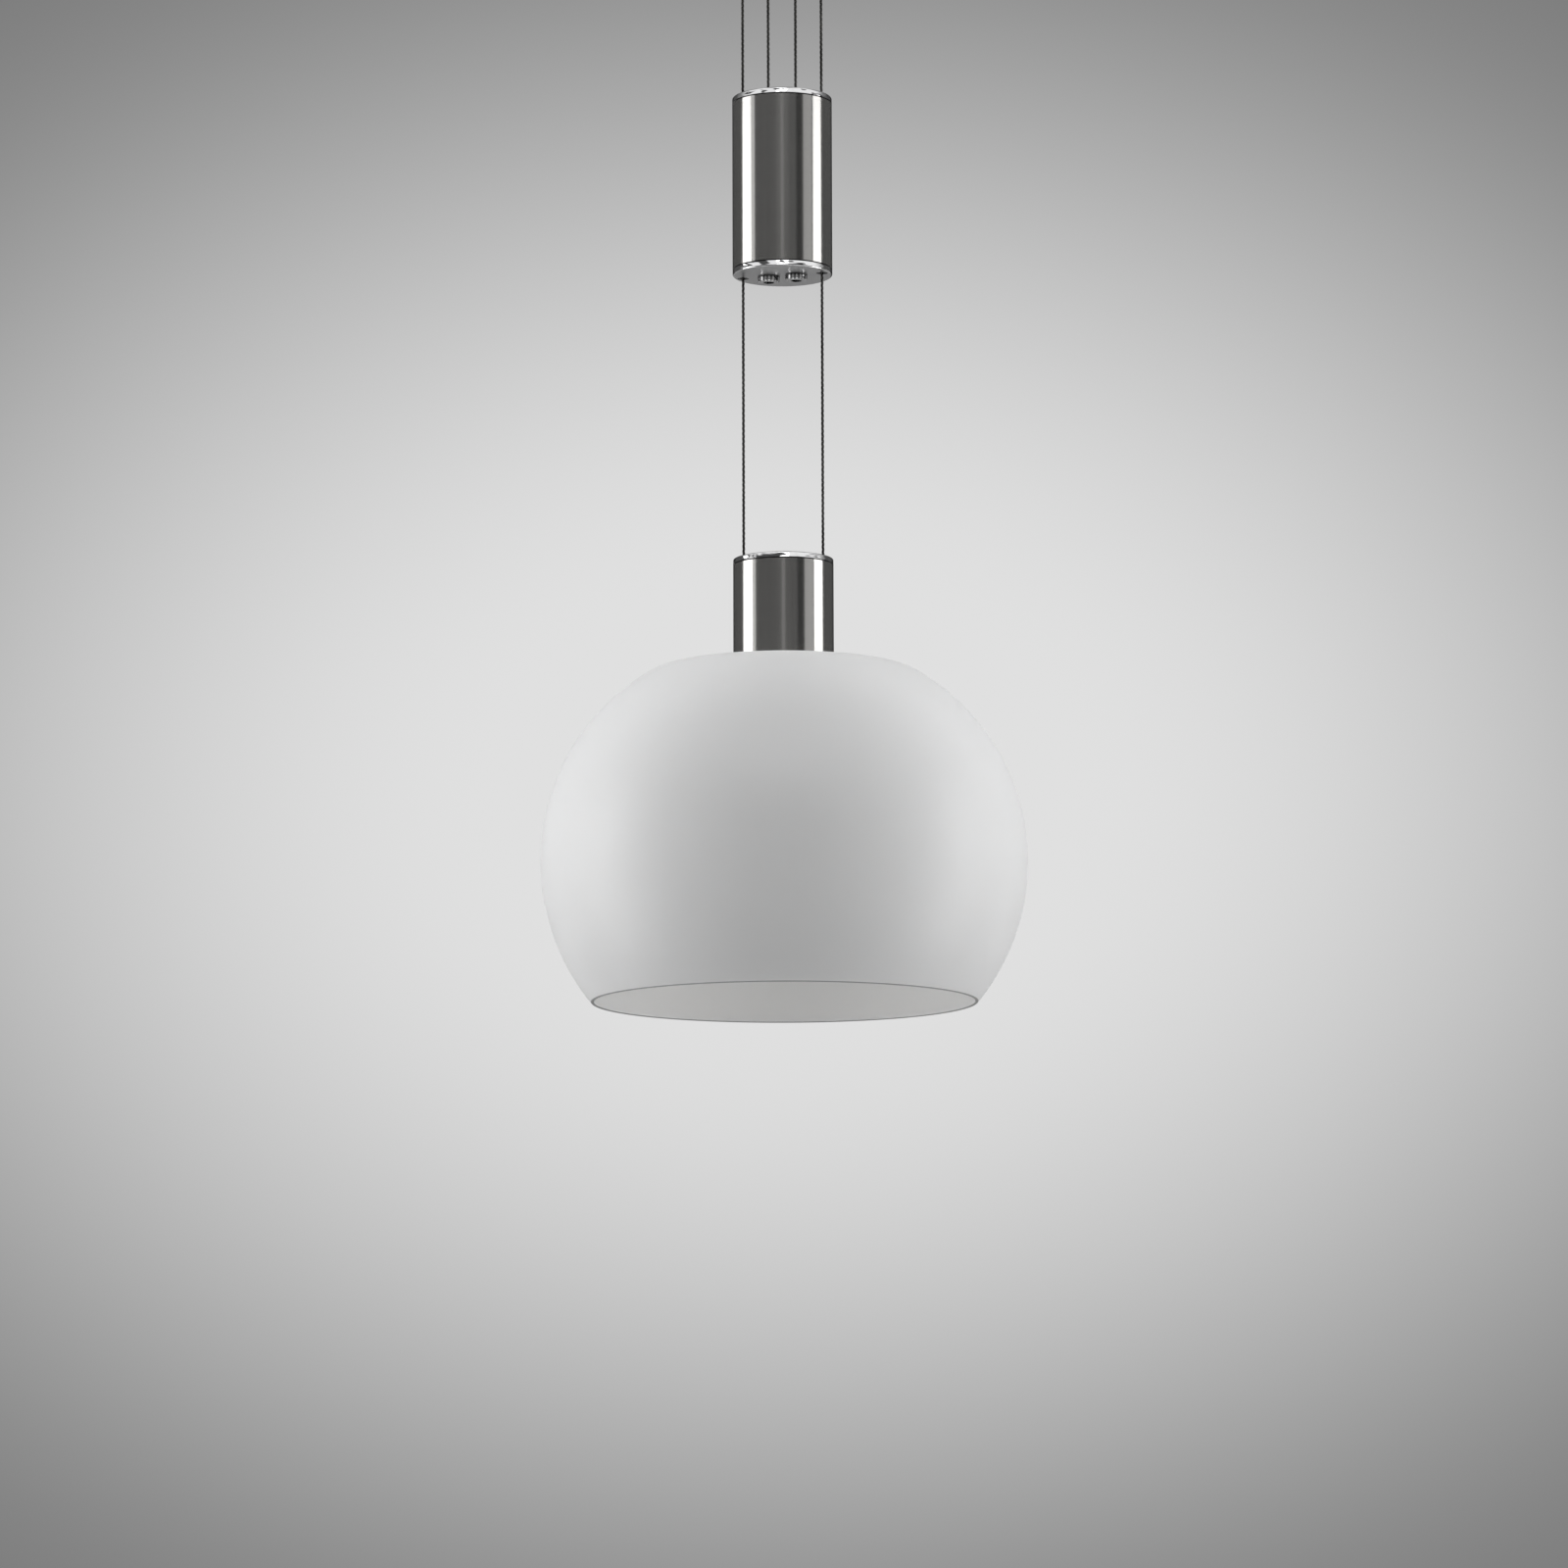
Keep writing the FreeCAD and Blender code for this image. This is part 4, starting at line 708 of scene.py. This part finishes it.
def shade_half_section():
    """Closed outline (radius, height): up the outside from the rim, over the top and down the inside."""
    low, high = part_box("glass_shade")
    top = high.z
    widest = (high.x - low.x) / 2
    equator = top - CROWN_ARC_R + CROWN_CUT
    lean = math.asin(SKIRT_DEPTH / SKIRT_ARC_R)
    outer_end = (widest - SKIRT_ARC_R + SKIRT_ARC_R * math.cos(lean), equator - SKIRT_DEPTH)
    inner_end = (outer_end[0] - RIM_WALL * math.cos(lean), outer_end[1] + RIM_WALL * math.sin(lean))
    middle = ((outer_end[0] + inner_end[0]) / 2, (outer_end[1] + inner_end[1]) / 2)

    def side(wall, end):
        width = widest - wall
        inset = width - end[0]
        depth = equator - end[1]
        skirt_r = (inset * inset + depth * depth) / (2 * inset)
        crown_r = CROWN_ARC_R - wall
        bend_r = SHOULDER_R - wall
        crown_x = widest - CROWN_ARC_R
        rise = top - wall - bend_r - equator
        bend_x = crown_x + math.sqrt((crown_r - bend_r) ** 2 - rise * rise)
        leave = math.atan2(rise, bend_x - crown_x)
        rim_angle = -math.asin(depth / skirt_r)
        points = arc_points((width - skirt_r, equator), skirt_r, rim_angle, 0.0, SKIRT_STEPS)
        points += arc_points((crown_x, equator), crown_r, 0.0, leave, CROWN_STEPS)[1:]
        bend = (bend_x, top - wall - bend_r)
        points += arc_points(bend, bend_r, leave, math.pi / 2, SHOULDER_STEPS)[1:]
        return points

    nose = arc_points(middle, RIM_WALL / 2, math.pi - lean, 2 * math.pi - lean, RIM_STEPS)
    outside = side(0.0, outer_end)
    inside = side(GLASS_WALL, inner_end)
    neck = [(NECK_HOLE_R, top), (NECK_HOLE_R, top - GLASS_WALL)]
    return nose[1:-1] + outside + neck + inside[::-1]


def lathe(name, outline, steps, material, crease):
    """Closed half section turned round the lamp's axis."""
    vertices = []
    faces = []
    count = len(outline)
    for step in range(steps):
        turn = 2 * math.pi * step / steps
        vertices += [(r * math.cos(turn), r * math.sin(turn), z) for r, z in outline]
        here = step * count
        there = (step + 1) % steps * count
        for i in range(count):
            j = (i + 1) % count
            faces.append((here + i, there + i, there + j, here + j))
    return new_piece(name, vertices, faces, material, crease)


def opal_glass(rim_z):
    """Etched opal. A fine grey line, without the glow through the glass, is painted round the bottom of the
    rim.
    """
    material, shader, tree = principled("opal_glass", (0.90, 0.90, 0.895), 0.0, 0.38)
    shader.inputs["Subsurface Radius"].default_value = (1.0, 0.98, 0.95)
    shader.inputs["Subsurface Scale"].default_value = 0.009
    shader.inputs["IOR"].default_value = 1.5
    shader.inputs["Sheen Weight"].default_value = 1.0
    shader.inputs["Sheen Roughness"].default_value = 0.06
    etch = cloudy(tree, (2600, 2600, 2600))
    roughened(tree, shader, etch, 0.34, 0.44)
    tinted(tree, shader, cloudy(tree, (18, 18, 18), 2.0), (0.893, 0.893, 0.888), (0.912, 0.912, 0.908))
    raised(tree, shader, etch, 3 * MICRON)
    height = height_of(tree, coordinates(tree, "Object"))
    grey_line_heights = (rim_z + RIM_LINE, rim_z + 1.6 * RIM_LINE)
    # a fine grey line is painted at the bottom of the rim, with no glow through it
    tree.links.new(between(tree, height, *grey_line_heights, 0.0, 1.0), shader.inputs["Subsurface Weight"])
    darkened(tree, shader, between(tree, height, *grey_line_heights, 0.4, 1.0))
    return material


opal = opal_glass(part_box("glass_shade")[0].z)
shade = lathe("blown_shade", shade_half_section(), SHADE_STEPS, opal, GLASS_CREASE)
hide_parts("glass_shade")
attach(shade, "lamp")

# ---------------------------------------------------------------- what clamps the shade
# A white enamelled dish under the neck and two silicone rings hold the glass up against the head. A
# hexagon nut on the threaded tube pulls them together.


def white_enamel():
    material, shader, tree = principled("white_enamel", (0.82, 0.82, 0.81), 0.0, 0.16)
    shader.inputs["Coat Weight"].default_value = 0.5
    shader.inputs["Coat Roughness"].default_value = 0.08
    flow = cloudy(tree, (260, 260, 260))
    roughened(tree, shader, flow, 0.12, 0.22)
    tinted(tree, shader, cloudy(tree, (50, 50, 50)), (0.80, 0.80, 0.785), (0.84, 0.84, 0.83))
    raised(tree, shader, flow, 10 * MICRON)
    return material


enamel = white_enamel()
dress(soft_sleeve("silicone_ring", (0.74, 0.74, 0.73), 0.55), "upper_gasket", "lower_gasket")
dress(enamel, "clamp_dish")
dress(zinc, "clamp_nut")

# ---------------------------------------------------------------- lampholder and lamp
# An enamelled cup screws on to the threaded tube and holds a pressed ceramic lampholder. The lamp is a
# quartz capsule pinched flat round its two pins.


def pressed_ceramic():
    material, shader, tree = principled("pressed_ceramic", (0.78, 0.75, 0.68), 0.0, 0.7)
    grain = cloudy(tree, (2400, 2400, 2400), 4.0)
    roughened(tree, shader, grain, 0.6, 0.85)
    tinted(tree, shader, cloudy(tree, (180, 180, 180)), (0.72, 0.69, 0.62), (0.83, 0.80, 0.74))
    raised(tree, shader, grain, 20 * MICRON)
    return material


def frosted_quartz():
    material, shader, tree = principled("frosted_quartz", (0.90, 0.90, 0.90), 0.0, 0.3)
    shader.inputs["Transmission Weight"].default_value = 0.35
    shader.inputs["IOR"].default_value = 1.46
    roughened(tree, shader, cloudy(tree, (1500, 1500, 1500)), 0.24, 0.38)
    return material


dress(enamel, "holder_cup")
dress(pressed_ceramic(), "lampholder")
dress(frosted_quartz(), "capsule_lamp")
dress(zinc, "lamp_pins")
